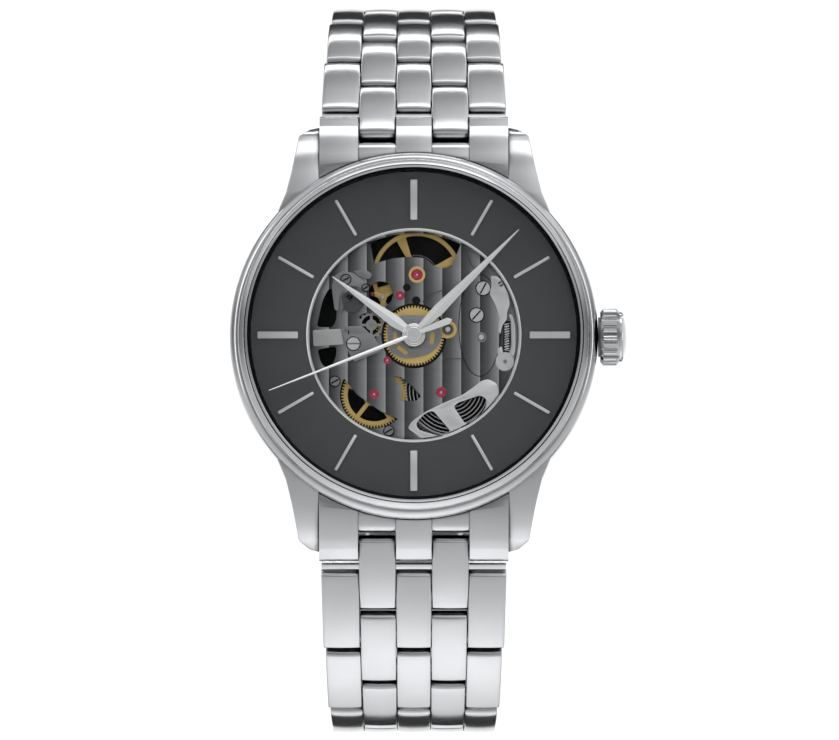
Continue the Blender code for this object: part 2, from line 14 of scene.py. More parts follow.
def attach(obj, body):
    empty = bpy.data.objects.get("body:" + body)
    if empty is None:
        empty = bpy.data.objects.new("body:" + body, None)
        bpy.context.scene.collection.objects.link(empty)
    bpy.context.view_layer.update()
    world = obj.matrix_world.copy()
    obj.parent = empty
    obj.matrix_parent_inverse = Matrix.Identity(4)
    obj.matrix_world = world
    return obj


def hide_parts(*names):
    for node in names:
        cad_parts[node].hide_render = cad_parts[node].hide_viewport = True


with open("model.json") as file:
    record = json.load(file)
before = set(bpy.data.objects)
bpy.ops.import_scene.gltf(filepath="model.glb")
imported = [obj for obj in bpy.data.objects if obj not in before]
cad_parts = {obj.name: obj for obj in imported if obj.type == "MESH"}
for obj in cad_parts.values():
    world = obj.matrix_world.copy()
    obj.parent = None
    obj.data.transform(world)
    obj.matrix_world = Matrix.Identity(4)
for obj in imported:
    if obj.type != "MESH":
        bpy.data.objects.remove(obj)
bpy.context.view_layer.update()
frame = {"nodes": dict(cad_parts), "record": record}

MM = 0.001
TO_WORLD = Matrix.Rotation(math.pi / 2, 4, "X") @ Matrix.Scale(MM, 4)

# Sizes shared with the CAD frame
CASE_R = 19.5
DIAL_TOP = 6.53
DIAL_R = 17.8
APERTURE_R = 11.1
LUG_HALF = 10.05
CROWN_Z = 4.2
FIRST_PIN = (22.3, 2.55)
LINK_STEP = 4.75
LINK_HALF_THICK = 1.35
LINK_OVERHANG = 2.2
LINK_CROWN = 0.09
SIDE_GROWTH = 0.03
FIRST_OVERHANG = 1.4
ANGLES_12 = (48, 50, 53, 58, 66, 75, 86, 98, 111, 125, 139, 153, 165)
ANGLES_6 = (30, 32, 44, 53, 66, 80, 93, 106, 119, 132, 145, 157, 168)
COLUMN_GAP = 0.1
WIDE_COLUMNS = (3.75, 3.85, 4.1)
NARROW_COLUMNS = (3.3, 3.4, 3.0)
TAPER_ROWS = 8.0
CLASP_U = (2.6, 35.6)
CLASP_HALF_WIDTH = 8.2
CLASP_CROWN = 1.6
BUTTON_U = 19.0
BALANCE_AT = (0.33, 6.5)
PALLET_AT = (-3.3, 4.2)
ESCAPE_AT = (-4.5, 1.3)
BARREL_AT = (4.0, -5.6)
INTERMEDIATE_AT = (-4.2, -6.2)


# ---------------------------------------------------------------- materials

class Nodes:
    """A small helper for writing node trees in a few lines."""

    def __init__(self, name):
        self.material = bpy.data.materials.new(name)
        self.material.use_nodes = True
        self.tree = self.material.node_tree
        self.shader = self.tree.nodes["Principled BSDF"]

    def node(self, kind, **values):
        made = self.tree.nodes.new(kind)
        for key, value in values.items():
            setattr(made, key, value)
        return made

    def link(self, source, target):
        self.tree.links.new(source, target)

    def place(self):
        """Object coordinates in millimetres."""
        coords = self.node("ShaderNodeTexCoord")
        scale = self.node("ShaderNodeMapping")
        scale.inputs["Scale"].default_value = (1000.0, 1000.0, 1000.0)
        self.link(coords.outputs["Object"], scale.inputs["Vector"])
        return scale.outputs["Vector"]

    def noise(self, where, stretch, size, detail=3.0):
        mapping = self.node("ShaderNodeMapping")
        mapping.inputs["Scale"].default_value = stretch
        self.link(where, mapping.inputs["Vector"])
        noise = self.node("ShaderNodeTexNoise")
        noise.inputs["Scale"].default_value = size
        noise.inputs["Detail"].default_value = detail
        self.link(mapping.outputs["Vector"], noise.inputs["Vector"])
        return noise.outputs["Fac"]

    def remap(self, value, low, high):
        span = self.node("ShaderNodeMapRange")
        span.inputs["To Min"].default_value = low
        span.inputs["To Max"].default_value = high
        self.link(value, span.inputs["Value"])
        return span.outputs["Result"]

    def mix(self, factor, first, second):
        ramp = self.node("ShaderNodeValToRGB")
        ramp.color_ramp.elements[0].color = (*first, 1.0)
        ramp.color_ramp.elements[1].color = (*second, 1.0)
        self.link(factor, ramp.inputs["Fac"])
        self.link(ramp.outputs["Color"], self.shader.inputs["Base Color"])
        return ramp

    def painted_crevice_shade(self, colour, reach):
        """Painted shade: darken the base colour in the gaps and grooves that ambient occlusion finds."""
        shade = self.node("ShaderNodeAmbientOcclusion", samples=6)
        shade.inputs["Distance"].default_value = reach * MM
        curve = self.node("ShaderNodeValToRGB")
        curve.color_ramp.elements[0].position = 0.25
        curve.color_ramp.elements[0].color = (0.02, 0.02, 0.022, 1.0)
        curve.color_ramp.elements[1].position = 0.8
        self.link(shade.outputs["AO"], curve.inputs["Fac"])
        both = self.node("ShaderNodeMix", data_type="RGBA", blend_type="MULTIPLY")
        both.inputs["Factor"].default_value = 1.0
        self.link(colour, both.inputs["A"])
        self.link(curve.outputs["Color"], both.inputs["B"])
        self.link(both.outputs["Result"], self.shader.inputs["Base Color"])

    def bump(self, height, strength, distance):
        bump = self.node("ShaderNodeBump")
        bump.inputs["Strength"].default_value = strength
        bump.inputs["Distance"].default_value = distance * MM
        self.link(height, bump.inputs["Height"])
        self.link(bump.outputs["Normal"], self.shader.inputs["Normal"])

    def math(self, operation, first, second=0.0):
        made = self.node("ShaderNodeMath", operation=operation)
        for socket, value in zip(made.inputs, (first, second)):
            if isinstance(value, float):
                socket.default_value = value
            else:
                self.link(value, socket)
        return made.outputs["Value"]


def metal(name, dark, light, rough, stretch=(1, 1, 1), grain=0.0, size=1.6, metallic=1.0, reach=0.0):
    """Metal with fine wear: colour and roughness drift, and an optional directional grain. With reach, painted shade
    darkens its gaps and grooves.
    """
    n = Nodes(name)
    n.shader.inputs["Metallic"].default_value = metallic
    where = n.place()
    drift = n.noise(where, (1, 1, 1), 0.35, 2.0)
    ramp = n.mix(drift, dark, light)
    # Painted shade: darken the colour in gaps and grooves.
    if reach:
        n.painted_crevice_shade(ramp.outputs["Color"], reach)
    fine = n.noise(where, stretch, size, 4.0)
    n.link(n.remap(fine, *rough), n.shader.inputs["Roughness"])
    if grain:
        n.bump(fine, 0.35, grain)
    return n.material


def striped_metal():
    """Plate finished in parallel waves 2 mm wide, each with a soft and a crisp side. The colour across each wave runs
    from near black to light grey as painted sheen for how the waves catch light.
    """
    n = Nodes("striped_nickel")
    n.shader.inputs["Metallic"].default_value = 0.6
    where = n.place()
    split = n.node("ShaderNodeSeparateXYZ")
    n.link(where, split.inputs["Vector"])
    phase = n.math("FRACT", n.math("ADD", n.math("DIVIDE", split.outputs["X"], 2.0), 0.5))
    # Painted sheen: the colour across each wave runs from near black to light grey.
    ramp = n.mix(phase, (0.05, 0.051, 0.054), (0.5, 0.505, 0.52))
    ramp.color_ramp.elements.new(0.45).color = (0.15, 0.153, 0.16, 1.0)
    ramp.color_ramp.elements.new(0.88).color = (0.36, 0.365, 0.38, 1.0)
    grain = n.noise(where, (3.0, 3.0, 0.6), 6.0)
    n.link(n.remap(grain, 0.3, 0.5), n.shader.inputs["Roughness"])
    n.bump(n.math("ADD", n.math("MULTIPLY", phase, 0.7), n.math("MULTIPLY", grain, 0.3)), 0.3, 0.08)
    return n.material


def dial_lacquer():
    """Anthracite with a very fine sunray grain."""
    n = Nodes("anthracite_dial")
    n.shader.inputs["Metallic"].default_value = 0.35
    where = n.place()
    split = n.node("ShaderNodeSeparateXYZ")
    n.link(where, split.inputs["Vector"])
    angle = n.math("ARCTAN2", split.outputs["Z"], split.outputs["X"])
    rays = n.node("ShaderNodeTexNoise", noise_dimensions="1D")
    rays.inputs["Scale"].default_value = 9.0
    rays.inputs["Detail"].default_value = 3.0
    n.link(angle, rays.inputs["W"])
    n.mix(rays.outputs["Fac"], (0.084, 0.086, 0.089), (0.096, 0.098, 0.102))
    n.link(n.remap(rays.outputs["Fac"], 0.46, 0.54), n.shader.inputs["Roughness"])
    return n.material


def ruby():
    n = Nodes("ruby")
    where = n.place()
    n.mix(n.noise(where, (1, 1, 1), 3.0), (0.22, 0.004, 0.03), (0.5, 0.02, 0.09))
    n.shader.inputs["Roughness"].default_value = 0.08
    n.shader.inputs["Coat Weight"].default_value = 0.8
    # Painted glow: a faint red emission stands in for light passing through the stones.
    n.shader.inputs["Emission Color"].default_value = (0.35, 0.01, 0.05, 1.0)
    n.shader.inputs["Emission Strength"].default_value = 0.12
    return n.material


def sapphire():
    n = Nodes("sapphire_glass")
    where = n.place()
    n.mix(n.noise(where, (1, 1, 1), 0.2), (0.01, 0.012, 0.014), (0.02, 0.022, 0.025))
    n.shader.inputs["Roughness"].default_value = 0.02
    n.shader.inputs["Alpha"].default_value = 0.035
    n.shader.inputs["Specular IOR Level"].default_value = 0.2
    return n.material


# Near black standing in for shade: painted shade in bores, holes, gaps and under parts.
def shadow_black():
    n = Nodes("painted_shade_black")
    where = n.place()
    n.mix(n.noise(where, (1, 1, 1), 1.0), (0.004, 0.004, 0.005), (0.012, 0.012, 0.013))
    n.shader.inputs["Roughness"].default_value = 0.6
    n.shader.inputs["Specular IOR Level"].default_value = 0.15
    return n.material


# POLISHED and SATIN take painted shade in their gaps and grooves (reach=0.9).
POLISHED = metal("polished_steel", (0.54, 0.55, 0.565), (0.6, 0.61, 0.625), (0.12, 0.2), (1, 1, 1), 0.002, 1.2, reach=0.9)
SATIN = metal("satin_steel", (0.6, 0.61, 0.63), (0.67, 0.68, 0.7), (0.24, 0.36), (0.25, 6, 6), 0.004, 3.0, reach=0.9)
BRIGHT = metal("mirror_steel", (0.84, 0.85, 0.86), (0.92, 0.93, 0.94), (0.12, 0.24), (1, 1, 1), 0.0, 2.0, 0.55)
NICKEL = metal("matte_nickel", (0.3, 0.305, 0.315), (0.37, 0.375, 0.385), (0.34, 0.5), (2, 2, 2), 0.004, 5.0)
GILT = metal("gilt_brass", (0.86, 0.6, 0.2), (0.97, 0.73, 0.31), (0.3, 0.45), (2, 2, 2), 0.004, 4.0, 0.55)
BRUSHED_LIGHT = metal("brushed_nickel", (0.5, 0.505, 0.51), (0.6, 0.605, 0.61), (0.3, 0.45), (0.5, 4, 4), 0.004, 4.0, 0.7)
DARK_STEEL = metal("dark_steel", (0.1, 0.1, 0.105), (0.18, 0.18, 0.19), (0.3, 0.45), (2, 2, 2), 0.004, 4.0)
SPRING_STEEL = metal("spring_steel", (0.62, 0.63, 0.65), (0.78, 0.79, 0.8), (0.2, 0.3))
STRIPED = striped_metal()
DIAL = dial_lacquer()
RUBY = ruby()
SAPPHIRE = sapphire()
SHADE_BLACK = shadow_black()
SLOTS = {"polished_steel": POLISHED, "satin_steel": SATIN, "sapphire": SAPPHIRE, "dial": DIAL,
         "gilt": GILT, "nickel": STRIPED}


# ---------------------------------------------------------------- mesh helpers

def temporary(data):
    made = bpy.data.objects.new("working", data)
    bpy.context.scene.collection.objects.link(made)
    return made


def settle(obj, weld=0.0005):
    bpy.context.view_layer.update()
    depsgraph = bpy.context.evaluated_depsgraph_get()
    mesh = bpy.data.meshes.new_from_object(obj.evaluated_get(depsgraph))
    mesh.transform(obj.matrix_world)
    bpy.data.objects.remove(obj, do_unlink=True)
    shape = bmesh.new()
    shape.from_mesh(mesh)
    bmesh.ops.remove_doubles(shape, verts=shape.verts, dist=weld)
    bmesh.ops.recalc_face_normals(shape, faces=shape.faces)
    shape.to_mesh(mesh)
    shape.free()
    return temporary(mesh)


def turned(profile, segments=160):
    closed = all(r > 0 for r, _ in profile)
    count = len(profile)
    edges = [(i, (i + 1) % count) for i in range(count if closed else count - 1)]
    mesh = bpy.data.meshes.new("profile")
    mesh.from_pydata([(r, 0.0, z) for r, z in profile], edges, [])
    obj = temporary(mesh)
    screw = obj.modifiers.new("turn", "SCREW")
    screw.steps = segments
    screw.render_steps = segments
    screw.use_merge_vertices = True
    screw.merge_threshold = 0.0001
    return settle(obj)


def plate(outlines, low, high):
    curve = bpy.data.curves.new("outline", "CURVE")
    curve.dimensions = "2D"
    curve.fill_mode = "BOTH"
    curve.extrude = (high - low) / 2
    for outline in outlines:
        spline = curve.splines.new("POLY")
        spline.points.add(len(outline) - 1)
        for point, (x, y) in zip(spline.points, outline):
            point.co = (x, y, 0.0, 1.0)
        spline.use_cyclic_u = True
    obj = temporary(curve)
    obj.location.z = (low + high) / 2
    return settle(obj)


def move(obj, matrix):
    obj.data.transform(matrix)
    return obj


def slide(obj, x, y, z=0.0):
    return move(obj, Matrix.Translation((x, y, z)))


ACROSS = Matrix(((0, 0, 1, 0), (1, 0, 0, 0), (0, 1, 0, 0), (0, 0, 0, 1)))


def side_slab(outline, low, high, holes=()):
    return move(plate([outline, *holes], low, high), ACROSS)


def combine(base, other, operation="UNION"):
    change = base.modifiers.new("boolean", "BOOLEAN")
    change.operation = operation
    change.solver = "EXACT"
    change.object = other
    result = settle(base)
    bpy.data.objects.remove(other, do_unlink=True)
    return result


def bevelled(obj, width=0.12, segments=3, angle=32):
    bevel = obj.modifiers.new("edges", "BEVEL")
    bevel.width = width
    bevel.segments = segments
    bevel.limit_method = "ANGLE"
    bevel.angle_limit = math.radians(angle)
    bevel.use_clamp_overlap = True
    bevel.harden_normals = False
    return settle(obj, 0.0001)


def joined(objs):
    """One object from several shapes, each keeping its own material."""
    bpy.ops.object.select_all(action="DESELECT")
    for obj in objs:
        obj.select_set(True)
    bpy.context.view_layer.objects.active = objs[0]
    if len(objs) > 1:
        bpy.ops.object.join()
    return objs[0]


def painted(obj, material):
    obj.data.materials.clear()
    obj.data.materials.append(material)
    return obj


def add(name, obj, body, material=None, replaces=(), sharp=30):
    if material:
        painted(obj, material)
    obj.data.transform(TO_WORLD)
    obj.data.shade_smooth()
    obj.data.set_sharp_from_angle(angle=math.radians(sharp))
    obj.name = name
    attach(obj, body)
    if replaces:
        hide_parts(*replaces)
    return obj


def ring_points(radius, count, centre=(0.0, 0.0), phase=0.0):
    return [(centre[0] + radius * math.cos(phase + math.tau * i / count),
             centre[1] + radius * math.sin(phase + math.tau * i / count)) for i in range(count)]


def disc(radius, low, high, at=(0.0, 0.0), sides=40, edge=0.03):
    """A turned disc with a small chamfer."""
    body = turned([(0.0, low), (radius, low), (radius, high - edge), (radius - edge, high), (0.0, high)], sides)
    return slide(body, *at)


def ring(inner, outer, low, high, at=(0.0, 0.0), sides=64, edge=0.03):
    body = turned([(inner, low), (outer, low), (outer, high - edge), (outer - edge, high), (inner + edge, high),
                   (inner, high - edge)], sides)
    return slide(body, *at)


def cross_rod(radius, low, high, at, sides=24):
    return move(plate([ring_points(radius, sides, at)], low, high), ACROSS)


def smooth_line(points, steps=6):
    """Catmull-Rom curve through a few points."""
    result = []
    padded = [points[0], *points, points[-1]]
    for a, b, c, d in zip(padded, padded[1:], padded[2:], padded[3:]):
        for i in range(steps):
            t = i / steps
            result.append(tuple(0.5 * (2 * q + (r - p) * t + (2 * p - 5 * q + 4 * r - s) * t * t
                                       + (3 * q - p - 3 * r + s) * t ** 3) for p, q, r, s in zip(a, b, c, d)))
    result.append(tuple(points[-1]))
    return result


# ---------------------------------------------------------------- case

def lug(side, sign):
    plan = [(LUG_HALF, 12.5), (13.9, 11.0), (14.4, 13.2), (13.55, 15.2), (12.98, 17.5), (12.55, 19.6),
            (12.2, 21.5), (11.1, 22.35), (LUG_HALF, 22.65)]
    top = smooth_line([(11.0, 6.55), (15.0, 6.4), (18.0, 5.85), (20.2, 4.8), (21.6, 3.7)], 4)
    flank = [(11.0, 1.6), (16.0, 1.3), (19.0, 0.75), (21.0, 0.4), (22.4, 0.5), (22.8, 1.3), *reversed(top)]
    body = plate([[(side * x, sign * y) for x, y in plan]], 0.0, 8.0)
    body = combine(body, side_slab([(sign * y, z) for y, z in flank], -16.0, 16.0), "INTERSECT")
    body = combine(body, turned([(0.0, -1.0), (18.4, -1.0), (18.4, 9.0), (0.0, 9.0)], 128), "DIFFERENCE")
    return bevelled(body, 0.16, 3, 30)


def case():
    ring_body = turned([(16.2, 1.4), (17.9, 1.4), (18.4, 1.6), (19.2, 2.4), (19.45, 2.8), (19.5, 3.2), (19.5, 5.7),
                        (19.47, 6.1), (19.35, 6.5), (19.1, 6.85), (18.85, 7.03), (18.7, 7.08), (18.0, 7.08),
                        (18.0, 6.15), (16.2, 6.1)], 256)
    lugs = [lug(side, sign) for side in (1, -1) for sign in (1, -1)]
    add("case_middle_shell", joined([painted(ring_body, POLISHED)] + [painted(x, POLISHED) for x in lugs]), "case",
        replaces=["case_middle"])
    bezel = turned([(17.58, 7.15), (18.55, 7.15), (18.62, 7.25), (18.62, 7.9), (18.58, 8.1), (18.45, 8.35),
                    (18.2, 8.62), (17.98, 8.78), (17.94, 8.74), (17.9, 8.78), (17.86, 9.05), (17.8, 9.13),
                    (17.7, 9.15), (17.6, 9.1), (17.58, 9.0)], 256)
    add("bezel_ring", bezel, "case", POLISHED, ["bezel"], 22)
    flange = turned([(17.3, 8.15), (17.2, 8.1), (17.42, 6.6), (17.75, 6.56), (17.92, 6.6), (17.92, 7.12),
                     (17.55, 7.14), (17.55, 8.15)], 256)
    add("dial_flange", flange, "case", POLISHED)
    glass = turned([(0.0, 8.2), (17.5, 8.2), (17.5, 9.2), (17.42, 9.3), (17.3, 9.36), (15.0, 9.39), (0.0, 9.4)], 192)
    add("front_sapphire", glass, "case", SAPPHIRE, ["crystal"])


def case_back():
    back = turned([(12.45, 0.0), (16.3, 0.0), (16.6, 0.1), (16.85, 0.35), (16.9, 0.6), (16.9, 1.3), (16.05, 1.3),
                   (16.05, 2.1), (15.0, 2.1), (13.0, 1.3), (12.45, 1.25), (12.45, 0.2)], 192)
    notches = []
    for i in range(6):
        box = plate([[(-0.9, 15.5), (0.9, 15.5), (0.9, 17.5), (-0.9, 17.5)]], -0.5, 0.45)
        back = combine(back, move(box, Matrix.Rotation(math.tau * (i + 0.5) / 6, 4, "Z")), "DIFFERENCE")
    groove = ring(13.2, 13.35, -0.02, 0.02, edge=0.005, sides=128)
    back = combine(back, groove, "DIFFERENCE")
    add("case_back_ring", back, "case", SATIN, ["case_back"])
    glass = turned([(0.0, 0.0), (12.2, 0.0), (12.4, 0.15), (12.4, 1.1), (0.0, 1.1)], 160)
    add("back_sapphire", glass, "case", SAPPHIRE, ["case_back_crystal"])


def crown():
    flutes = 22
    outline = []
    for i in range(flutes):
        for part, radius in ((0.0, 2.84), (0.12, 3.0), (0.3, 3.1), (0.55, 3.1), (0.73, 3.0), (0.85, 2.84)):
            angle = math.tau * (i + part) / flutes
            outline.append((radius * math.cos(angle), radius * math.sin(angle)))
    barrel = plate([outline], -0.25, 1.75)
    trim = turned([(0.0, -0.25), (2.7, -0.25), (3.12, 0.1), (3.12, 1.4), (2.75, 1.75), (0.0, 1.75)], 96)
    barrel = combine(barrel, trim, "INTERSECT")
    cap = turned([(0.0, 1.6), (2.62, 1.6), (2.68, 1.7), (2.68, 2.0), (2.6, 2.12), (2.3, 2.22), (1.5, 2.42), (0.7, 2.52),
                  (0.0, 2.55)], 96)
    collar = turned([(0.0, -0.45), (2.1, -0.45), (2.1, -0.2), (0.0, -0.2)], 64)
    body = joined([painted(barrel, POLISHED), painted(cap, POLISHED), painted(collar, DARK_STEEL)])
    place = Matrix.Translation((20.0, 0.0, CROWN_Z)) @ Matrix.Rotation(math.pi / 2, 4, "Y")
    add("crown_fluted", move(body, place), "crown", replaces=["crown"])


def column_span(column, row):
    part = min(max(row, 0.0) / TAPER_ROWS, 1.0)
    middle, inner, outer = (w + (n - w) * part for w, n in zip(WIDE_COLUMNS, NARROW_COLUMNS))
    start = {0: -middle / 2, 1: middle / 2 + COLUMN_GAP, 2: middle / 2 + 2 * COLUMN_GAP + inner}[abs(column)]
    end = start + {0: middle, 1: inner, 2: outer}[abs(column)]
    return (start, end) if column >= 0 else (-end, -start)


def end_link(name, sign, node):
    pin_y, pin_z = FIRST_PIN
    tip = [(pin_y + FIRST_OVERHANG * math.cos(math.radians(a)),
            pin_z + FIRST_OVERHANG * math.sin(math.radians(a))) for a in range(-80, 61, 14)]
    crest = smooth_line([(22.6, 4.25), (21.5, 5.0), (19.8, 5.75), (18.2, 6.05), (15.5, 6.15)], 4)
    pieces = []
    for column in (-2, -1, 0, 1, 2):
        low, high = column_span(column, 0.0)
        if abs(column) == 1:
            crest_low = [(y, z - 0.18) for y, z in crest if y < 20.55]
            outline = [(18.5, 1.4), (pin_y - 1.65, 1.4), (pin_y - 1.65, 4.9), (pin_y - 1.75, 5.12), *crest_low,
                       (15.5, 4.5), (18.5, 4.4)]
            low, high = low - 0.06, high + 0.06
        else:
            outline = [(18.5, 1.4), *tip, *crest, (15.5, 4.5), (18.5, 4.4)]
            high = min(high, LUG_HALF - 0.03)
            low = max(low, 0.03 - LUG_HALF)
        piece = side_slab([(sign * y, z) for y, z in outline], low, high)
        piece = combine(piece, turned([(0.0, 0.0), (19.56, 0.0), (19.56, 9.0), (0.0, 9.0)], 256), "DIFFERENCE")
        pieces.append(painted(bevelled(piece, 0.13, 3, 35), POLISHED))
    pieces.append(painted(cross_rod(0.42, -9.0, 9.0, (sign * pin_y, pin_z)), SATIN))
    add(name, joined(pieces), "case", replaces=[node])


# ---------------------------------------------------------------- bracelet

def link_outline(start):
    """Side outline of a link piece: a gently domed top, round shoulders, flat underside."""
    end = LINK_STEP + LINK_OVERHANG
    thick = LINK_HALF_THICK
    crown_line = []
    for i in range(13):
        t = i / 12
        u = end - 0.28 - (end + start - 0.56) * t
        crown_line.append((u, thick - 0.4 * (2 * t - 1) ** 2))
    return [(-start + 0.55, -thick), (end - 0.55, -thick), (end - 0.1, -0.5), (end, 0.1), (end - 0.02, thick - 0.72),
            *crown_line, (-start + 0.02, thick - 0.72), (-start, 0.1), (-start + 0.1, -0.5)]


def loft(rings):
    """Closed solid through rings of matching points."""
    count = len(rings[0])
    points = [point for ring_line in rings for point in ring_line]
    faces = [tuple(range(count)), tuple(range(len(points) - count, len(points)))]
    for i in range(len(rings) - 1):
        for k in range(count):
            after = (k + 1) % count
            faces.append((i * count + k, i * count + after, (i + 1) * count + after, (i + 1) * count + k))
    mesh = bpy.data.meshes.new("loft")
    mesh.from_pydata(points, [], faces)
    return settle(temporary(mesh), 0.00001)


def link_piece(column, row, start):
    near = column_span(column, row)
    far = column_span(column, row + 1.0)
    rings = []
    for i in range(9):
        t = i / 8
        drop = LINK_CROWN * (2 * t - 1) ** 2
        ring_line = []
        for u, w in link_outline(start):
            part = (u + start) / (LINK_STEP + LINK_OVERHANG + start)
            low = near[0] + (far[0] - near[0]) * part - SIDE_GROWTH
            high = near[1] + (far[1] - near[1]) * part + SIDE_GROWTH
            ring_line.append((low + (high - low) * t, u, w - drop if w > 0.5 else w))
        rings.append(ring_line)
    return painted(bevelled(loft(rings), 0.13, 3, 28), POLISHED)


def pin_end(x, side):
    """Polished end of a link pin, set in its bore on the outer edge; the bore is painted black as painted shade."""
    bore = cross_rod(0.62, *sorted((x - side * 0.3, x + side * 0.012)), (0.0, 0.0), 32)
    head = cross_rod(0.5, *sorted((x - side * 0.3, x + side * 0.03)), (0.0, 0.0), 32)
    return [painted(bore, SHADE_BLACK), painted(bevelled(head, 0.03, 2), SATIN)]


def gap_plate(index, columns, start):
    """Thin plate between the ends of the neighbouring rows, seen as a light line in each gap."""
    if index == 0:
        low, high = 1.7, 2.25
    else:
        low, high = 2.32, 2.43
    reach = column_span(2, index + 0.5)[1] - 0.12 if 1 in columns else column_span(1, index + 0.5)[1] + 0.3
    body = side_slab([(low, -0.95), (high, -0.95), (high, 0.5), (low, 0.5)], -reach, reach)
    return painted(bevelled(body, 0.03, 2), SPRING_STEEL)


def bracelet_half(prefix, angles, sign):
    y, z = FIRST_PIN
    for index, angle in enumerate(angles):
        columns = (-1, 1) if index % 2 == 0 else (-2, 0, 2)
        start = FIRST_OVERHANG if index == 0 else LINK_OVERHANG
        pieces = [link_piece(c, index, start) for c in columns]
        if index < len(angles) - 1:
            pieces.append(gap_plate(index, columns, start))
        reach = column_span(2, index + 1)[1] - 0.6
        if sign < 0 and index == len(angles) - 1:
            reach = column_span(1, index + 1)[1] - 0.6
        pieces.append(painted(cross_rod(0.42, -reach, reach, (LINK_STEP, 0.0)), SATIN))
        if 2 in columns:
            for side in (1, -1):
                edge = column_span(2, index + 0.3)[1]
                pieces += pin_end(side * edge, side)
        body = joined(pieces)
        place = Matrix.Translation((0, y, z)) @ Matrix.Rotation(-math.radians(angle), 4, "X")
        body = move(body, place)
        if sign < 0:
            body = move(body, Matrix.Scale(-1, 4, (0, 1, 0)))
            body.data.flip_normals()
        node = f"{prefix}_{index + 1:02d}"
        add(f"{node}_polished", body, node, replaces=[node])
        y += LINK_STEP * math.cos(math.radians(angle))
        z -= LINK_STEP * math.sin(math.radians(angle))


# ---------------------------------------------------------------- clasp

def chain_end(angles):
    y, z = FIRST_PIN
    for angle in angles:
        y += LINK_STEP * math.cos(math.radians(angle))
        z -= LINK_STEP * math.sin(math.radians(angle))
    return Vector((y, z))


def clasp_frame():
    """Matrix from (x, u, w) in the clasp to the face frame."""
    start = chain_end(ANGLES_12)
    end = chain_end(ANGLES_6)
    end.x = -end.x
    along = (end - start).normalized()
    return Matrix(((1, 0, 0, 0), (0, along.x, -along.y, start.x), (0, along.y, along.x, start.y), (0, 0, 0, 1)))


def crowned(outline):
    """Follow the bow of the clasp along its length."""
    middle = sum(CLASP_U) / 2
    half = (CLASP_U[1] - CLASP_U[0]) / 2
    return [(u, w + CLASP_CROWN * (1.0 - min(abs(u - middle) / half, 1.0) ** 2)) for u, w in outline]


def strip(low, high, bottom, top, count=24):
    run = [low + (high - low) * i / count for i in range(count + 1)]
    return [(u, bottom) for u in run] + [(u, top) for u in reversed(run)]


def clasp_cover():
    low, high = CLASP_U
    half = CLASP_HALF_WIDTH
    body = side_slab(crowned(strip(low, high, -2.2, 1.3)), -half, half)
    inside = side_slab(crowned(strip(low - 1.0, high + 1.0, -3.2, 0.25)), 0.9 - half, half - 0.9)
    body = combine(body, inside, "DIFFERENCE")
    for side in (-1, 1):
        slot = side_slab([(BUTTON_U - 2.6, -1.3), (BUTTON_U + 2.6, -1.3), (BUTTON_U + 2.6, 0.9), (BUTTON_U - 2.6, 0.9)],
                         *sorted((side * (half - 1.6), side * (half + 0.5))))
        body = combine(body, slot, "DIFFERENCE")
    for u in (low + 1.6, high - 1.6):
        groove = side_slab(crowned([(u - 0.09, 1.18), (u + 0.09, 1.18), (u + 0.09, 1.5), (u - 0.09, 1.5)]),
                           -half - 1.0, half + 1.0)
        body = combine(body, groove, "DIFFERENCE")
    pieces = [painted(bevelled(body, 0.2, 3, 40), SATIN)]
    for column in (-2, 0, 2):
        knuckle = side_slab([(-0.9, -1.1), (0.4, -1.35), (3.2, -1.35), (3.4, 1.1), (0.5, 1.3), (-0.8, 1.1), (-1.3, 0.0)],
                            *column_span(column, TAPER_ROWS))
        pieces.append(painted(bevelled(knuckle, 0.14, 3), POLISHED))
    for column in (-2, 2):
        tongue = side_slab([(high - 0.4, -1.3), (41.0, -1.3), (41.4, -0.8), (41.4, 0.8), (40.9, 1.25),
                            (high - 0.4, 1.25)], *column_span(column, TAPER_ROWS))
        pieces.append(painted(bevelled(tongue, 0.16, 3), POLISHED))
    for side in (-1, 1):
        rivet = cross_rod(0.55, *sorted((side * 7.9, side * (half + 0.06))), (35.0, -0.55), 32)
        pieces.append(painted(bevelled(rivet, 0.04, 2), BRIGHT))
    add("clasp_cover_satin", move(joined(pieces), clasp_frame()), "clasp_cover", replaces=["clasp_cover"])


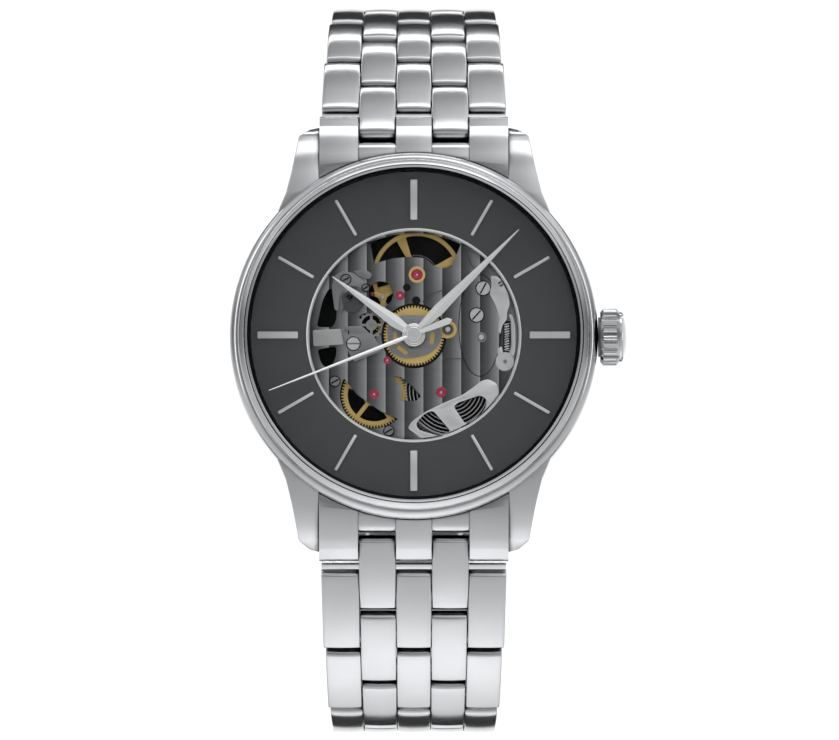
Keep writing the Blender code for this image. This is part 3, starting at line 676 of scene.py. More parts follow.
def clasp_blades():
    u_in, w_in = 6.4, 0.0
    w_in = crowned([(u_in, -0.95)])[0][1]
    outer = side_slab(crowned(strip(u_in + 1.0, 35.2, -0.8, -0.1)), -5.0, 5.0)
    for u in (14.0, 20.0, 26.0):
        hole = plate([rounded([(-1.6, u - 1.6), (1.6, u - 1.6), (1.6, u + 1.6), (-1.6, u + 1.6)], 1.2, 8)], -3.0, 3.0)
        outer = combine(outer, hole, "DIFFERENCE")
    eye = side_slab([(u_in - 0.9, w_in - 0.35), (u_in - 0.35, w_in - 0.9), (u_in + 0.5, w_in - 0.85),
                     (u_in + 1.2, w_in + 0.15), (u_in + 1.6, w_in + 0.2), (u_in + 1.6, w_in + 0.8),
                     (u_in - 0.35, w_in + 0.9), (u_in - 0.9, w_in + 0.35)], -2.4, 2.4)
    outer_parts = [painted(bevelled(outer, 0.08, 2), SATIN), painted(bevelled(eye, 0.1, 3), POLISHED),
                   painted(cross_rod(0.42, -7.6, 7.6, (35.0, -0.55)), BRIGHT)]
    add("clasp_blade_outer_satin", move(joined(outer_parts), clasp_frame()), "clasp_blade_outer",
        replaces=["clasp_blade_outer"])
    inner = side_slab(crowned(strip(u_in + 1.4, 33.2, -1.95, -1.2)), -5.0, 5.0)
    tail = side_slab(crowned([(32.6, -1.9), (37.9, -1.5), (38.4, -1.0), (38.4, -0.2), (37.6, -0.5), (36.4, -1.3),
                              (32.6, -1.25)]), -1.5, 1.5)
    inner_parts = [painted(bevelled(inner, 0.1, 3), POLISHED), painted(bevelled(tail, 0.08, 2), POLISHED)]
    for side in (-1, 1):
        ear = side_slab([(u_in - 0.9, w_in), (u_in - 0.35, w_in - 0.9), (u_in + 2.2, w_in - 1.2),
                         (u_in + 2.2, w_in - 0.6), (u_in + 0.9, w_in - 0.1), (u_in + 0.4, w_in + 0.7),
                         (u_in - 0.5, w_in + 0.7)], *sorted((side * 2.6, side * 4.8)))
        inner_parts.append(painted(bevelled(ear, 0.08, 2), POLISHED))
    inner_parts.append(painted(cross_rod(0.42, -4.5, 4.5, (u_in, w_in)), BRIGHT))
    add("clasp_blade_inner_polished", move(joined(inner_parts), clasp_frame()), "clasp_blade_inner",
        replaces=["clasp_blade_inner"])


def clasp_buttons():
    for name, side in (("clasp_button_left", -1), ("clasp_button_right", 1)):
        face = rounded([(BUTTON_U - 2.4, -1.2), (BUTTON_U + 2.4, -1.2), (BUTTON_U + 2.4, 0.8), (BUTTON_U - 2.4, 0.8)],
                       0.5)
        button = side_slab(face, *sorted((side * 6.75, side * 9.0)))
        for i in (-2, -1, 0, 1, 2):
            u = BUTTON_U + 0.75 * i
            groove = side_slab([(u - 0.12, -1.6), (u + 0.12, -1.6), (u + 0.12, 1.2), (u - 0.12, 1.2)],
                               *sorted((side * 8.85, side * 9.3)))
            button = combine(button, groove, "DIFFERENCE")
        add(f"{name}_fluted", move(bevelled(button, 0.07, 2), clasp_frame()), name, POLISHED, [name])


# ---------------------------------------------------------------- dial and hands

def dial():
    face = turned([(APERTURE_R, 6.13), (DIAL_R, 6.13), (DIAL_R, DIAL_TOP), (APERTURE_R + 0.3, DIAL_TOP),
                   (APERTURE_R + 0.3, DIAL_TOP - 0.05), (APERTURE_R, DIAL_TOP - 0.05)], 256)
    add("dial_face", face, "case", DIAL, ["dial"], 20)
    rim = turned([(APERTURE_R - 0.02, DIAL_TOP - 0.42), (APERTURE_R + 0.26, DIAL_TOP - 0.1),
                  (APERTURE_R + 0.27, DIAL_TOP + 0.02), (APERTURE_R + 0.2, DIAL_TOP + 0.06),
                  (APERTURE_R + 0.06, DIAL_TOP + 0.04), (APERTURE_R - 0.02, DIAL_TOP - 0.06)], 256)
    add("dial_aperture_rim", rim, "case", BRIGHT)
    batons = []
    for hour in range(12):
        half = 0.37 if hour % 3 == 0 else 0.17
        body = plate([[(12.25, -half), (16.55, -half), (16.55, half), (12.25, half)]], DIAL_TOP - 0.02, DIAL_TOP + 0.24)
        body = bevelled(body, 0.09, 2)
        batons.append(painted(move(body, Matrix.Rotation(math.tau * hour / 12, 4, "Z")), BRIGHT))
    add("hour_batons", joined(batons), "case")


def leaf(stations, level):
    """Blade through (place, half width) stations with a ridge, so its flanks catch light apart."""
    rings = []
    for x, half in stations:
        rise = 0.2 if half > 0.06 else 0.1
        rings.append([(x, -half, level), (x, half, level), (x, half, level + 0.07), (x, 0.0, level + rise),
                      (x, -half, level + 0.07)])
    return painted(loft(rings), BRIGHT)


def faceted_hand(name, reach, clock, level, width, waist, tail, hub, body, node):
    pieces = [leaf([(0.0, width * 0.26), (reach * waist, width / 2), (reach, 0.05)], level)]
    if tail:
        pieces.append(leaf([(-tail, 0.05), (-tail + 0.4, 0.36), (-1.9, 0.3), (0.0, 0.13)], level))
    boss = turned([(0.0, level - 0.02), (hub, level - 0.02), (hub, level + 0.16), (hub - 0.08, level + 0.22),
                   (hub - 0.3, level + 0.22), (hub - 0.34, level + 0.16), (hub - 0.4, level + 0.24),
                   (0.12, level + 0.25), (0.0, level + 0.25)], 64)
    pieces.append(painted(boss, BRIGHT))
    turn = Matrix.Rotation(math.radians(90.0 - clock), 4, "Z")
    add(name, move(joined(pieces), turn), body, replaces=[node], sharp=12)


def hands():
    faceted_hand("hour_hand_leaf", 10.6, 305.6, 6.85, 1.3, 0.24, None, 1.2, "hours", "hour_hand")
    faceted_hand("minute_hand_leaf", 15.75, 44.9, 7.25, 1.22, 0.24, None, 1.02, "minutes", "minute_hand")
    faceted_hand("seconds_hand_needle", 16.4, 248.7, 7.62, 0.42, 0.1, 4.3, 0.78, "seconds", "seconds_hand")


# ---------------------------------------------------------------- movement

def gear_outline(radius, teeth, depth):
    points = []
    for i in range(teeth):
        for part, r in ((0.0, radius - depth), (0.22, radius - depth), (0.38, radius - 0.03), (0.5, radius),
                        (0.62, radius), (0.74, radius - 0.03), (0.92, radius - depth)):
            angle = math.tau * (i + part) / teeth
            points.append((r * math.cos(angle), r * math.sin(angle)))
    return points


def spoke_windows(count, inner, outer, bar, phase=0.0):
    windows = []
    for i in range(count):
        first = math.tau * i / count + phase
        last = math.tau * (i + 1) / count + phase
        span_out = last - first - 2 * bar / outer
        span_in = last - first - 2 * bar / inner
        windows.append([(outer * math.cos(first + bar / outer + span_out * k / 16),
                         outer * math.sin(first + bar / outer + span_out * k / 16)) for k in range(17)]
                       + [(inner * math.cos(first + bar / inner + span_in * k / 8),
                           inner * math.sin(first + bar / inner + span_in * k / 8)) for k in range(8, -1, -1)])
    return windows


def wheel(name, at, radius, teeth, levels, spokes, body, node, material, arbor, depth=0.28, phase=0.0):
    rim = min(0.5, radius * 0.12)
    windows = spoke_windows(spokes, radius * 0.34, radius - depth - rim, 0.22 if radius > 2 else 0.13, phase) if spokes else []
    web = plate([gear_outline(radius, teeth, depth), *windows], *levels)
    hub = disc(radius * 0.2, levels[0] - 0.06, levels[1] + 0.08, sides=32)
    stem = disc(arbor[0], arbor[1], arbor[2], sides=20)
    body_mesh = joined([painted(web, material), painted(hub, material), painted(stem, SPRING_STEEL)])
    add(name, slide(body_mesh, *at), body, replaces=[node])


def screw(at, radius, level, turn, material=BRIGHT):
    head = disc(radius, level - 0.25, level, sides=40, edge=0.05)
    cut = plate([[(-2 * radius, -0.08), (2 * radius, -0.08), (2 * radius, 0.08), (-2 * radius, 0.08)]],
                level - 0.14, level + 0.2)
    head = combine(head, move(cut, Matrix.Rotation(math.radians(turn), 4, "Z")), "DIFFERENCE")
    # Painted shade: the black seat round the head and the black floor under the slot.
    seat = ring(radius + 0.005, radius + 0.1, level - 0.25, level - 0.09, sides=40, edge=0.01)
    floor = disc(radius - 0.06, level - 0.25, level - 0.12, sides=24, edge=0.01)
    return [painted(slide(head, *at), material), painted(slide(seat, *at), SHADE_BLACK), painted(slide(floor, *at), SHADE_BLACK)]


def jewel(at, radius, level, setting=False):
    """A ruby bearing: a ring with a dished oil sink round a tiny steel pivot."""
    stone = turned([(0.0, level - 0.12), (radius, level - 0.12), (radius, level - 0.02), (radius - 0.04, level),
                    (radius * 0.62, level), (radius * 0.35, level - 0.06), (0.1, level - 0.08), (0.0, level - 0.08)], 40)
    parts = [painted(slide(stone, *at), RUBY),
             painted(disc(0.1, level - 0.1, level - 0.03, at, 16, 0.01), BRIGHT)]
    if setting:
        parts.append(painted(ring(radius + 0.01, radius + 0.28, level - 0.1, level + 0.05, at), GILT))
    return parts


def crescent(radius, chord, count=40):
    reach = math.acos(chord / radius)
    return [(radius * math.sin(-reach + 2 * reach * i / count),
             radius * math.cos(-reach + 2 * reach * i / count)) for i in range(count + 1)]


def turn_points(points, degrees):
    c, s = math.cos(math.radians(degrees)), math.sin(math.radians(degrees))
    return [(x * c - y * s, x * s + y * c) for x, y in points]


def rounded(points, radius=0.3, steps=4):
    """Round the corners of an outline."""
    result = []
    count = len(points)
    for i in range(count):
        before = Vector(points[i - 1])
        here = Vector(points[i])
        after = Vector(points[(i + 1) % count])
        cut = min(radius, (before - here).length * 0.45, (after - here).length * 0.45)
        start = here + (before - here).normalized() * cut
        end = here + (after - here).normalized() * cut
        for k in range(steps + 1):
            t = k / steps
            point = start * (1 - t) ** 2 + here * 2 * t * (1 - t) + end * t * t
            result.append((point.x, point.y))
    return result


def arc(radius, first, last, count, centre=(0.0, 0.0)):
    """Points along a circle between two angles in degrees."""
    turns = [math.radians(first + (last - first) * i / count) for i in range(count + 1)]
    return [(centre[0] + radius * math.cos(t), centre[1] + radius * math.sin(t)) for t in turns]


def grown(points, amount):
    """Scale an outline about its middle."""
    middle = [sum(p[i] for p in points) / len(points) for i in (0, 1)]
    return [tuple(middle[i] + (p[i] - middle[i]) * amount for i in (0, 1)) for p in points]


SPRING_WINDOWS = (
    [(1.1, -8.3), (2.0, -7.9), (4.0, -10.25), (2.6, -10.65), (0.5, -10.0), (0.2, -9.3)],
    [(4.2, -7.5), (4.7, -7.1), (7.0, -6.3), (7.7, -6.7), (7.6, -7.7), (6.7, -8.7), (5.5, -9.5)],
)


def main_plate():
    balance_window = arc(10.98, 63, 115, 24) + [(-4.2, 7.7), (-2.2, 8.25), (-0.4, 8.4), (1.2, 8.25), (1.7, 7.85),
                                               (2.1, 7.45), (3.0, 7.2), (4.0, 7.35)]
    wheel_window = arc(3.62, 152, 314, 32, INTERMEDIATE_AT) + [(-3.5, -8.0), (-4.9, -7.0), (-6.0, -6.2)]
    windows = [
        balance_window,
        wheel_window,
        *(rounded(grown(outline, 1.08), 0.6) for outline in SPRING_WINDOWS),
        rounded([(-4.7, 5.4), (-3.6, 5.9), (-2.5, 5.6), (-2.1, 4.4), (-2.6, 3.3), (-3.9, 3.0), (-4.8, 4.0)], 0.7),
        rounded([(-5.9, 2.2), (-4.4, 2.7), (-3.3, 1.7), (-3.25, 0.2), (-4.3, -0.35), (-5.5, 0.3)], 0.5),
        rounded([(-10.3, 0.95), (-8.6, 0.9), (-8.2, 1.7), (-8.15, 5.0), (-9.0, 5.1), (-9.7, 3.7)], 0.45),
        rounded([(-10.2, -1.4), (-8.2, -1.05), (-8.2, -2.0), (-8.6, -3.05), (-9.4, -3.4), (-9.9, -2.7)], 0.35),
        rounded([(-2.15, -4.3), (-1.4, -4.3), (-0.3, -5.2), (0.8, -6.4), (0.2, -6.95), (-1.4, -6.9), (-1.2, -5.8)], 0.25),
        ring_points(1.2, 32),
    ]
    face = bevelled(plate([ring_points(12.9, 160), *windows], 4.9, 5.65), 0.06, 2)
    # Painted shade: the black disc under the plate and the black disc round the centre on the dial side.
    parts = [painted(face, STRIPED), painted(disc(12.6, 3.36, 3.4, sides=96), SHADE_BLACK),
             painted(disc(12.6, 3.34, 3.358, sides=96, edge=0.002), NICKEL),
             painted(disc(3.45, 5.6, 5.662, sides=96, edge=0.002), SHADE_BLACK)]
    parts += [*jewel(BALANCE_AT, 0.6, 5.78, True), *jewel((-1.45, 4.3), 0.48, 5.72), *jewel((-2.8, -2.6), 0.4, 5.72),
              *jewel((-4.2, -6.2), 0.5, 5.72), *jewel((2.9, -6.0), 0.55, 5.72)]
    for at, size, turn in (((7.35, 5.05), 0.72, 62), ((6.65, 2.2), 0.72, 48), ((-6.4, -0.85), 0.68, 0)):
        parts += screw(at, size, 5.95, turn)
    for at, size in (((-8.35, -4.85), 0.5), ((-2.65, -10.1), 0.5), ((-7.2, 6.0), 0.5), ((-5.1, 5.1), 0.36),
                     ((9.2, 5.5), 0.32)):
        parts += screw(at, size, 5.88, 30, NICKEL)
    # Painted shade: black discs in small holes of the plate.
    for at, size in (((-0.75, 5.15), 0.4), ((0.25, 3.75), 0.45), ((-6.8, 4.2), 0.36), ((-5.6, 3.6), 0.25)):
        parts.append(painted(disc(size, 5.6, 5.665, at, 32, 0.004), SHADE_BLACK))
    parts.append(painted(disc(0.28, 5.6, 6.0, (7.15, -0.15), 24), BRIGHT))
    parts.append(painted(ring(0.32, 0.55, 5.6, 5.8, (7.15, -0.15)), NICKEL))
    add("main_plate_striped", joined(parts), "case", replaces=["main_plate"])


def wire(points, radius, level):
    """Thin round wire along a line at one level."""
    curve = bpy.data.curves.new("wire", "CURVE")
    curve.dimensions = "3D"
    curve.bevel_depth = radius
    curve.bevel_resolution = 2
    curve.use_fill_caps = True
    line = curve.splines.new("POLY")
    line.points.add(len(points) - 1)
    for point, place in zip(line.points, points):
        point.co = (place[0], place[1], place[2] if len(place) > 2 else level, 1.0)
    return settle(temporary(curve))


def flat_part(outline, low, high, material, corner=0.3, holes=()):
    return painted(bevelled(plate([rounded(outline, corner), *holes], low, high), 0.04, 2), material)


def dial_side_bridges():
    """Thin covers, levers and springs on the dial side of the main plate."""
    oval = [(7.0 + 2.2 * math.cos(a), 1.1 + 5.35 * math.sin(a)) for a in (math.tau * i / 72 for i in range(72))]
    rim = [(7.0 + (x - 7.0) * 1.035, 1.1 + (y - 1.1) * 1.015) for x, y in oval]
    shield = [(-2.9, 0.9), (-1.75, 2.15), (1.35, 2.15), (2.5, 1.2), (3.1, 0.2), (2.6, -1.2), (1.5, -2.0), (0.3, -2.3),
              (-1.2, -2.5), (-2.6, -1.7)]
    slots = [ring_points(1.22, 40)]
    slots += [rounded(turn_points([(-0.7, 1.75), (0.7, 1.75), (0.6, 2.2), (-0.6, 2.2)], a), 0.15) for a in (100, 142, 262)]
    left_arm = [(-10.7, 0.6), (-7.7, 0.75), (-7.4, -0.9), (-8.1, -0.95), (-10.6, -1.1)]
    left_plate = [(-7.8, 0.95), (-5.5, 1.05), (-4.7, 0.3), (-4.1, -0.3), (-3.3, -1.6), (-4.9, -2.2), (-6.3, -2.8),
                  (-7.0, -1.6)]
    parts = [painted(bevelled(plate([oval], 5.66, 5.76), 0.03, 2), STRIPED),
             # Painted shade: a thin black line round the oval plate.
             painted(plate([rim, grown(oval, 1.004)], 5.655, 5.72), SHADE_BLACK),
             flat_part(shield, 6.0, 6.1, NICKEL, 0.7, slots),
             flat_part(left_arm, 5.66, 5.74, BRUSHED_LIGHT, 0.2),
             flat_part(left_plate, 5.75, 5.85, NICKEL, 0.3, [ring_points(0.28, 24, (-7.1, 0.35))]),
             flat_part([(-8.4, 6.4), (-7.6, 6.9), (-6.4, 6.7), (-5.4, 5.9), (-5.0, 5.4), (-5.4, 4.9), (-6.2, 5.3),
                        (-7.3, 5.2), (-7.9, 4.2), (-8.0, 2.6), (-8.4, 2.8), (-8.7, 5.2)], 5.66, 5.76, NICKEL),
             flat_part([(-6.4, 6.9), (-5.0, 7.0), (-4.4, 6.5), (-4.7, 6.0), (-5.8, 6.3)], 5.77, 5.86, NICKEL, 0.2),
             flat_part([(-7.7, 4.3), (-6.9, 4.8), (-5.5, 4.2), (-5.2, 3.3), (-6.0, 2.5), (-7.4, 2.6)], 5.7, 5.78,
                       DARK_STEEL, 0.35, [ring_points(0.4, 24, (-6.8, 4.0))])]
    for line in ([(-7.5, 4.6), (-6.4, 3.2), (-5.6, 4.3), (-7.2, 3.4), (-5.9, 2.6)],
                 [(-7.7, 2.4), (-6.6, 4.4), (-5.2, 4.0), (-6.4, 2.2), (-7.6, 3.5)],
                 [(0.9, 3.6), (1.8, 4.4), (2.9, 4.8), (3.4, 5.0)],
                 [(3.0, -2.35), (4.7, -2.45), (5.1, -2.3)],
                 [(5.7, 8.6), (6.1, 7.6), (6.7, 6.9), (6.9, 6.3)]):
        parts.append(painted(wire(smooth_line(line, 8), 0.04, 5.83), DARK_STEEL))
    add("dial_side_covers", joined(parts), "case")
    bridge = [(8.1, 6.4), (9.1, 6.25), (9.95, 4.6), (10.2, 3.4), (9.85, 2.5), (9.9, 1.8), (9.35, 1.1), (9.15, 0.1),
              (8.9, 0.6), (9.05, 2.0), (8.65, 3.3), (8.0, 4.5), (8.25, 5.4)]
    bright = [flat_part(bridge, 5.66, 5.88, BRIGHT, 0.35),
              flat_part([(8.85, -1.4), (9.3, -1.1), (9.45, -1.9), (10.1, -1.9), (10.35, -1.0), (10.3, 1.6), (10.0, 2.3),
                         (10.45, 2.2), (10.75, 1.0), (10.75, -1.6), (10.4, -2.5), (8.9, -2.5)], 5.66, 5.84, BRIGHT, 0.2),
              painted(disc(1.02, 5.6, 5.92, (9.65, -2.75), 48, 0.08), BRIGHT),
              painted(disc(0.2, 5.9, 6.0, (9.65, -2.75), 24), NICKEL)]
    coil = [(9.85 + 0.26 * math.cos(math.tau * i / 12), 1.3 - 2.9 * i / 132, 5.84 + 0.12 * math.sin(math.tau * i / 12))
            for i in range(133)]
    # Painted shade: a thin black plate under the coil spring.
    bright.append(painted(plate([rounded([(9.5, 1.5), (10.2, 1.6), (10.25, -1.8), (9.45, -1.8)], 0.1)], 5.655, 5.67),
                          SHADE_BLACK))
    bright.append(painted(wire(coil, 0.06, 0.0), SPRING_STEEL))
    cover = [(-0.65, -9.8), (-0.2, -9.1), (1.0, -8.2), (3.0, -7.2), (5.2, -6.25), (6.4, -5.4), (7.1, -4.8), (7.9, -4.6),
             (8.8, -5.1), *arc(10.9, -34, -86, 20)]
    holes = [rounded(outline, 0.6) for outline in SPRING_WINDOWS]
    bright.append(flat_part(cover, 5.66, 5.86, BRIGHT, 0.3, holes))
    add("keyless_bridge", joined(bright), "case")
    pinion = [painted(disc(0.95, 5.66, 5.9, (3.6, 0.66), 48), GILT),
              painted(slide(plate([gear_outline(0.66, 14, 0.14)], 5.9, 6.02), 3.6, 0.66), DARK_STEEL),
              painted(disc(0.28, 6.0, 6.1, (3.6, 0.66), 24), BRIGHT)]
    add("intermediate_pinion", joined(pinion), "case")


def going_train():
    wheel("hour_wheel_gilt", (0.0, 0.0), 3.2, 60, (5.72, 5.92), 0, "hours", "hour_wheel", GILT, (1.0, 5.75, 6.75), 0.26)
    wheel("centre_wheel_gilt", (0.0, 0.0), 3.3, 64, (4.55, 4.72), 4, "minutes", "centre_wheel", GILT, (0.5, 4.6, 7.1))
    wheel("fourth_wheel_gilt", (0.0, 0.0), 4.1, 72, (3.42, 3.56), 4, "seconds", "fourth_wheel", GILT, (0.2, 3.4, 7.5))
    wheel("third_wheel_gilt", INTERMEDIATE_AT, 3.5, 66, (4.5, 4.7), 5, "third_wheel", "third_wheel", GILT,
          (0.2, 3.5, 4.85), 0.28, 0.28)
    wheel("escape_wheel_steel", ESCAPE_AT, 1.75, 15, (4.0, 4.14), 4, "escape_wheel", "escape_wheel", BRIGHT,
          (0.14, 3.5, 4.8), 0.5)
    fork = rounded([(-0.5, -1.05), (0.2, -0.4), (0.4, -0.22), (1.75, -0.14), (1.95, -0.3), (1.85, 0.0), (1.95, 0.3),
                    (1.75, 0.14), (0.4, 0.22), (0.2, 0.4), (-0.5, 1.05), (-0.8, 0.8), (-0.3, 0.0), (-0.8, -0.8)], 0.1)
    lever = [painted(bevelled(plate([fork], 4.34, 4.5), 0.02, 2), GILT), painted(disc(0.2, 4.2, 4.66, sides=24), BRIGHT)]
    for side in (1, -1):
        stone = plate([[(-0.95, side * 0.75), (-0.6, side * 0.6), (-0.45, side * 1.0), (-0.85, side * 1.15)]],
                      4.3, 4.54)
        lever.append(painted(stone, RUBY))
    aim = math.atan2(BALANCE_AT[1] - PALLET_AT[1], BALANCE_AT[0] - PALLET_AT[0])
    place = Matrix.Translation((*PALLET_AT, 0.0)) @ Matrix.Rotation(aim, 4, "Z")
    add("pallet_fork_gilt", move(joined(lever), place), "pallet_fork", replaces=["pallet_fork"])


def spiral(turns, first, last, height, width, level, steps=48):
    """A flat ribbon wound outwards."""
    shape = bmesh.new()
    rows = []
    count = int(turns * steps)
    for i in range(count + 1):
        a = math.tau * i / steps
        r = first + (last - first) * i / count
        row = [shape.verts.new(((r + dr) * math.cos(a), (r + dr) * math.sin(a), level + dz))
               for dr, dz in ((0, 0), (width, 0), (width, height), (0, height))]
        rows.append(row)
    for a, b in zip(rows, rows[1:]):
        for k in range(4):
            shape.faces.new((a[k], a[(k + 1) % 4], b[(k + 1) % 4], b[k]))
    shape.faces.new(rows[0])
    shape.faces.new(rows[-1])
    bmesh.ops.recalc_face_normals(shape, faces=shape.faces)
    mesh = bpy.data.meshes.new("spiral")
    shape.to_mesh(mesh)
    shape.free()
    return temporary(mesh)


def barrel_and_balance():
    drum = plate([gear_outline(5.4, 84, 0.25), ring_points(4.95, 96)], 4.05, 4.3)
    # Painted shade: the floor inside the barrel is black.
    floor = disc(4.96, 3.68, 3.78, sides=96)
    wall = ring(4.75, 4.96, 3.7, 4.45, sides=96)
    parts = [painted(drum, DARK_STEEL), painted(floor, SHADE_BLACK), painted(wall, BRIGHT),
             painted(spiral(8, 1.5, 4.6, 0.5, 0.11, 3.8), SPRING_STEEL),
             painted(disc(1.4, 3.8, 4.66, sides=48), BRIGHT)]
    add("barrel_with_mainspring", slide(joined(parts), *BARREL_AT), "barrel", replaces=["barrel"])
    rim = ring(4.3, 4.78, 3.78, 4.15, sides=128, edge=0.04)
    arms = [painted(rim, GILT)]
    for a in (23, 113, 203, 293):
        arm = plate([rounded([(0.0, -0.32), (2.4, -0.3), (4.6, -0.55), (4.6, 0.55), (2.4, 0.3), (0.0, 0.32)], 0.15)],
                    3.86, 4.02)
        arms.append(painted(move(bevelled(arm, 0.03, 2), Matrix.Rotation(math.radians(a), 4, "Z")), GILT))
    arms.append(painted(disc(0.55, 3.6, 4.3, sides=40), BRIGHT))
    arms.append(painted(spiral(8, 0.7, 2.4, 0.12, 0.03, 3.6), SPRING_STEEL))
    add("balance_wheel_gilt", slide(joined(arms), *BALANCE_AT), "balance", replaces=["balance_wheel"])


def back_side():
    bridge = rounded([(11.8, 1.2), (11.0, -3.4), (7.6, -8.8), (3.0, -11.4), (-3.4, -11.2), (-8.0, -8.4), (-11.2, -3.2),
                      (-11.6, 0.6), (-6.2, 1.0), (-6.6, 3.2), (-2.8, 3.2), (-1.8, 0.8), (6.2, 1.2)], 0.8, 6)
    plate_parts = [painted(bevelled(plate([bridge], 2.75, 3.35), 0.08, 3), STRIPED)]
    for at in ((-4.5, 1.3), (0.0, -0.2), (-4.2, -6.2)):
        stone = jewel((0.0, 0.0), 0.55, 0.0)
        for piece in stone:
            piece = move(piece, Matrix.Translation((*at, 2.74)) @ Matrix.Rotation(math.pi, 4, "X"))
            plate_parts.append(piece)
    for at in ((9.6, -1.2), (-9.6, -1.4), (-1.6, -9.8), (6.6, -7.4)):
        for piece in screw((0.0, 0.0), 0.75, 0.0, 35, BRIGHT):
            plate_parts.append(move(piece, Matrix.Translation((*at, 2.7)) @ Matrix.Rotation(math.pi, 4, "X")))
    add("train_bridge_striped", joined(plate_parts), "case", replaces=["train_bridge"])
    cock = rounded([(-1.6, 4.6), (2.2, 4.6), (3.0, 8.0), (3.6, 12.1), (-3.0, 12.2), (-2.4, 8.0)], 0.7, 6)
    cock_parts = [painted(bevelled(plate([cock], 2.75, 3.35), 0.08, 3), STRIPED)]
    for piece in jewel((0.0, 0.0), 0.7, 0.0, True):
        cock_parts.append(move(piece, Matrix.Translation((*BALANCE_AT, 2.74)) @ Matrix.Rotation(math.pi, 4, "X")))
    for piece in screw((0.0, 0.0), 0.8, 0.0, 10, BRIGHT):
        cock_parts.append(move(piece, Matrix.Translation((0.3, 10.6, 2.7)) @ Matrix.Rotation(math.pi, 4, "X")))
    add("balance_cock_striped", joined(cock_parts), "case", replaces=["balance_cock"])
    steps = 64
    outer = [(12.0 * math.cos(math.pi * i / steps), -12.0 * math.sin(math.pi * i / steps)) for i in range(steps + 1)]
    inner = [(9.8 * math.cos(math.pi * i / steps), -9.8 * math.sin(math.pi * i / steps)) for i in range(steps, -1, -1)]
    cut = spoke_windows(3, 3.4, 8.9, 0.5, math.pi)
    web = outer + [(-2.2, 0.5), (-1.2, 1.7), (0.0, 2.1), (1.2, 1.7), (2.2, 0.5)]
    rotor = [painted(bevelled(plate([web], 1.5, 1.85), 0.05, 2), STRIPED),
             painted(bevelled(plate([outer + inner], 1.86, 2.6), 0.05, 2), SATIN),
             painted(ring(1.05, 1.9, 1.4, 1.52, edge=0.03), BRIGHT), painted(disc(0.95, 1.38, 2.6, sides=40), DARK_STEEL)]
    for i in range(7):
        a = math.tau * i / 7
        rotor.append(painted(disc(0.14, 1.36, 1.42, (1.45 * math.cos(a), 1.45 * math.sin(a)), 20, 0.02), DARK_STEEL))
    add("rotor_striped", joined(rotor), "rotor", replaces=["rotor"])


# ---------------------------------------------------------------- stage

def stage_piece(name, mesh, colour):
    obj = temporary(mesh)
    obj.name = name
    n = Nodes(name)
    where = n.place()
    n.mix(n.noise(where, (1, 1, 1), 0.02), colour, tuple(c * 0.985 for c in colour))
    n.shader.inputs["Roughness"].default_value = 0.85
    obj.data.materials.append(n.material)
    return obj


def ramp_of(tree, source, stops):
    """Grey level along one direction of the surroundings, from -1 to 1."""
    span = tree.nodes.new("ShaderNodeMapRange")
    span.inputs["From Min"].default_value = -1.0
    tree.links.new(source, span.inputs["Value"])
    ramp = tree.nodes.new("ShaderNodeValToRGB")
    while len(ramp.color_ramp.elements) < len(stops):
        ramp.color_ramp.elements.new(0.5)
    for stop, (at, level) in zip(ramp.color_ramp.elements, stops):
        stop.position = (at + 1.0) / 2.0
        stop.color = (level, level, level, 1.0)
    tree.links.new(span.outputs["Result"], ramp.inputs["Fac"])
    return ramp.outputs["Color"]


def studio_world():
    """White tent with a darker band at the height of the camera."""
    world = bpy.data.worlds.new("studio")
    world.use_nodes = True
    tree = world.node_tree
    coords = tree.nodes.new("ShaderNodeTexCoord")
    split = tree.nodes.new("ShaderNodeSeparateXYZ")
    tree.links.new(coords.outputs["Generated"], split.inputs["Vector"])
    height = ramp_of(tree, split.outputs["Z"], WORLD_HEIGHT)
    sideways = ramp_of(tree, split.outputs["X"], WORLD_SIDEWAYS)
    depth = ramp_of(tree, split.outputs["Y"], WORLD_DEPTH)
    level = height
    for part in (sideways, depth):
        both = tree.nodes.new("ShaderNodeMix")
        both.data_type = "RGBA"
        both.blend_type = "MULTIPLY"
        both.inputs["Factor"].default_value = 1.0
        tree.links.new(level, both.inputs["A"])
        tree.links.new(part, both.inputs["B"])
        level = both.outputs["Result"]
    tree.links.new(level, tree.nodes["Background"].inputs["Color"])
    tree.nodes["Background"].inputs["Strength"].default_value = 1.0
    bpy.context.scene.world = world


WORLD_HEIGHT = ((-1.0, 0.6), (-0.15, 0.7), (0.04, 0.4), (0.2, 0.34), (0.38, 0.85), (0.6, 1.0), (0.8, 0.8), (1.0, 1.1))
WORLD_DEPTH = ((-1.0, 1.0), (-0.1, 1.0), (0.15, 0.85), (0.5, 0.4), (1.0, 0.3))
WORLD_SIDEWAYS = ((-1.0, 0.85), (-0.55, 0.9), (-0.2, 0.62), (0.05, 0.8), (0.3, 1.15), (0.6, 1.1), (1.0, 0.75))


def dark_flags():
    """Black cards behind the bracelet, seen only as dark edges in the polished steel."""
    for name, low, high, back in (("low_flag", -0.155, -0.085, 0.13), ("high_flag", 0.1, 0.19, 0.16)):
        mesh = bpy.data.meshes.new(name)
        mesh.from_pydata([(-0.2, back, low), (0.2, back, low), (0.2, back, high), (-0.2, back, high)], [], [(0, 1, 2, 3)])
        flag = stage_piece(name, mesh, (0.01, 0.01, 0.01))
        flag.visible_camera = False
        flag.visible_diffuse = False
        flag.visible_shadow = False


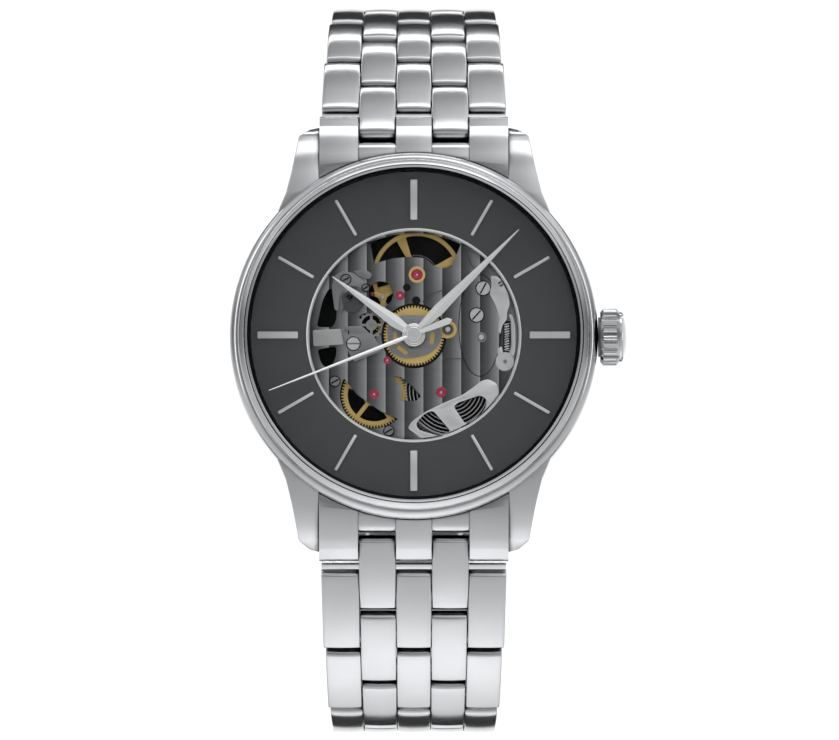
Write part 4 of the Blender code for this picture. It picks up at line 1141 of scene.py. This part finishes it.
def studio():
    """Pale sweep: floor below the watch that curves up behind it."""
    shape = bmesh.new()
    floor_z, back_y, radius, half = -0.16, 1.1, 0.5, 2.5
    line = [(-2.5, floor_z)]
    line += [(back_y - radius + radius * math.sin(math.radians(a)), floor_z + radius - radius * math.cos(math.radians(a)))
             for a in range(0, 91, 10)]
    line.append((back_y, 1.0))
    rows = [[shape.verts.new((x, y, z)) for x in (-half, half)] for y, z in line]
    for a, b in zip(rows, rows[1:]):
        shape.faces.new((a[0], a[1], b[1], b[0]))
    mesh = bpy.data.meshes.new("sweep")
    shape.to_mesh(mesh)
    shape.free()
    mesh.shade_smooth()
    sweep = stage_piece("studio_sweep", mesh, (0.74, 0.74, 0.74))
    dark_flags()
    studio_world()
    bpy.context.scene.view_settings.view_transform = "Standard"
    softboxes = (
        ("top_softbox", (0.0, -0.2, 0.75), (0.0, 0.02, 0.0), 0.7, 0.3, 0.8),
        ("left_strip", (-0.65, -0.3, 0.12), (0.0, 0.0, 0.0), 0.16, 0.8, 0.7),
        ("right_strip", (0.65, -0.3, 0.05), (0.0, 0.0, 0.0), 0.1, 0.8, 0.5),
        ("sweep_light", (0.0, 0.45, 0.7), (0.0, 1.1, 0.1), 1.6, 0.4, 8.0),
        ("floor_pool", (0.0, 0.0, -0.065), (0.0, 0.01, -0.2), 0.12, 0.05, 0.12),
    )
    for name, at, aim, wide, tall, power in softboxes:
        lamp = bpy.data.lights.new(name, "AREA")
        lamp.shape = "RECTANGLE"
        lamp.size = wide
        lamp.size_y = tall
        lamp.energy = power
        obj = bpy.data.objects.new(name, lamp)
        obj.location = at
        obj.rotation_euler = (Vector(aim) - Vector(at)).to_track_quat("-Z", "Y").to_euler()
        bpy.context.scene.collection.objects.link(obj)
        if name == "floor_pool":
            receivers = bpy.data.collections.new("floor_only")
            receivers.objects.link(sweep)
            obj.light_linking.receiver_collection = receivers


def camera():
    """Straight on to the dial from a little below it, with a long lens."""
    distance = 0.95
    tilt = math.radians(5.0)
    aim = Vector((0.0006, -0.0065, -0.0037))
    lens = bpy.data.cameras.new("camera")
    lens.sensor_width = 36.0
    view_width = 0.0887
    lens.lens = 36.0 * distance / view_width
    lens.clip_start = 0.01
    lens.clip_end = 20.0
    obj = bpy.data.objects.new("camera", lens)
    obj.location = aim + Vector((0.0, -distance * math.cos(tilt), -distance * math.sin(tilt)))
    obj.rotation_euler = (math.pi / 2 + tilt, 0.0, 0.0)
    bpy.context.scene.collection.objects.link(obj)
    bpy.context.scene.camera = obj


# ---------------------------------------------------------------- build

for item in frame["record"]["subparts"]:
    node = frame["nodes"][item["node"]]
    node.data.materials.clear()
    node.data.materials.append(SLOTS[item["material_slot"]])

camera()
studio()
case()
case_back()
crown()
end_link("end_link_12_polished", 1, "end_link_12")
end_link("end_link_6_polished", -1, "end_link_6")
bracelet_half("link_12", ANGLES_12, 1)
bracelet_half("link_6", ANGLES_6, -1)
clasp_cover()
clasp_blades()
clasp_buttons()
dial()
hands()
main_plate()
dial_side_bridges()
going_train()
barrel_and_balance()
back_side()
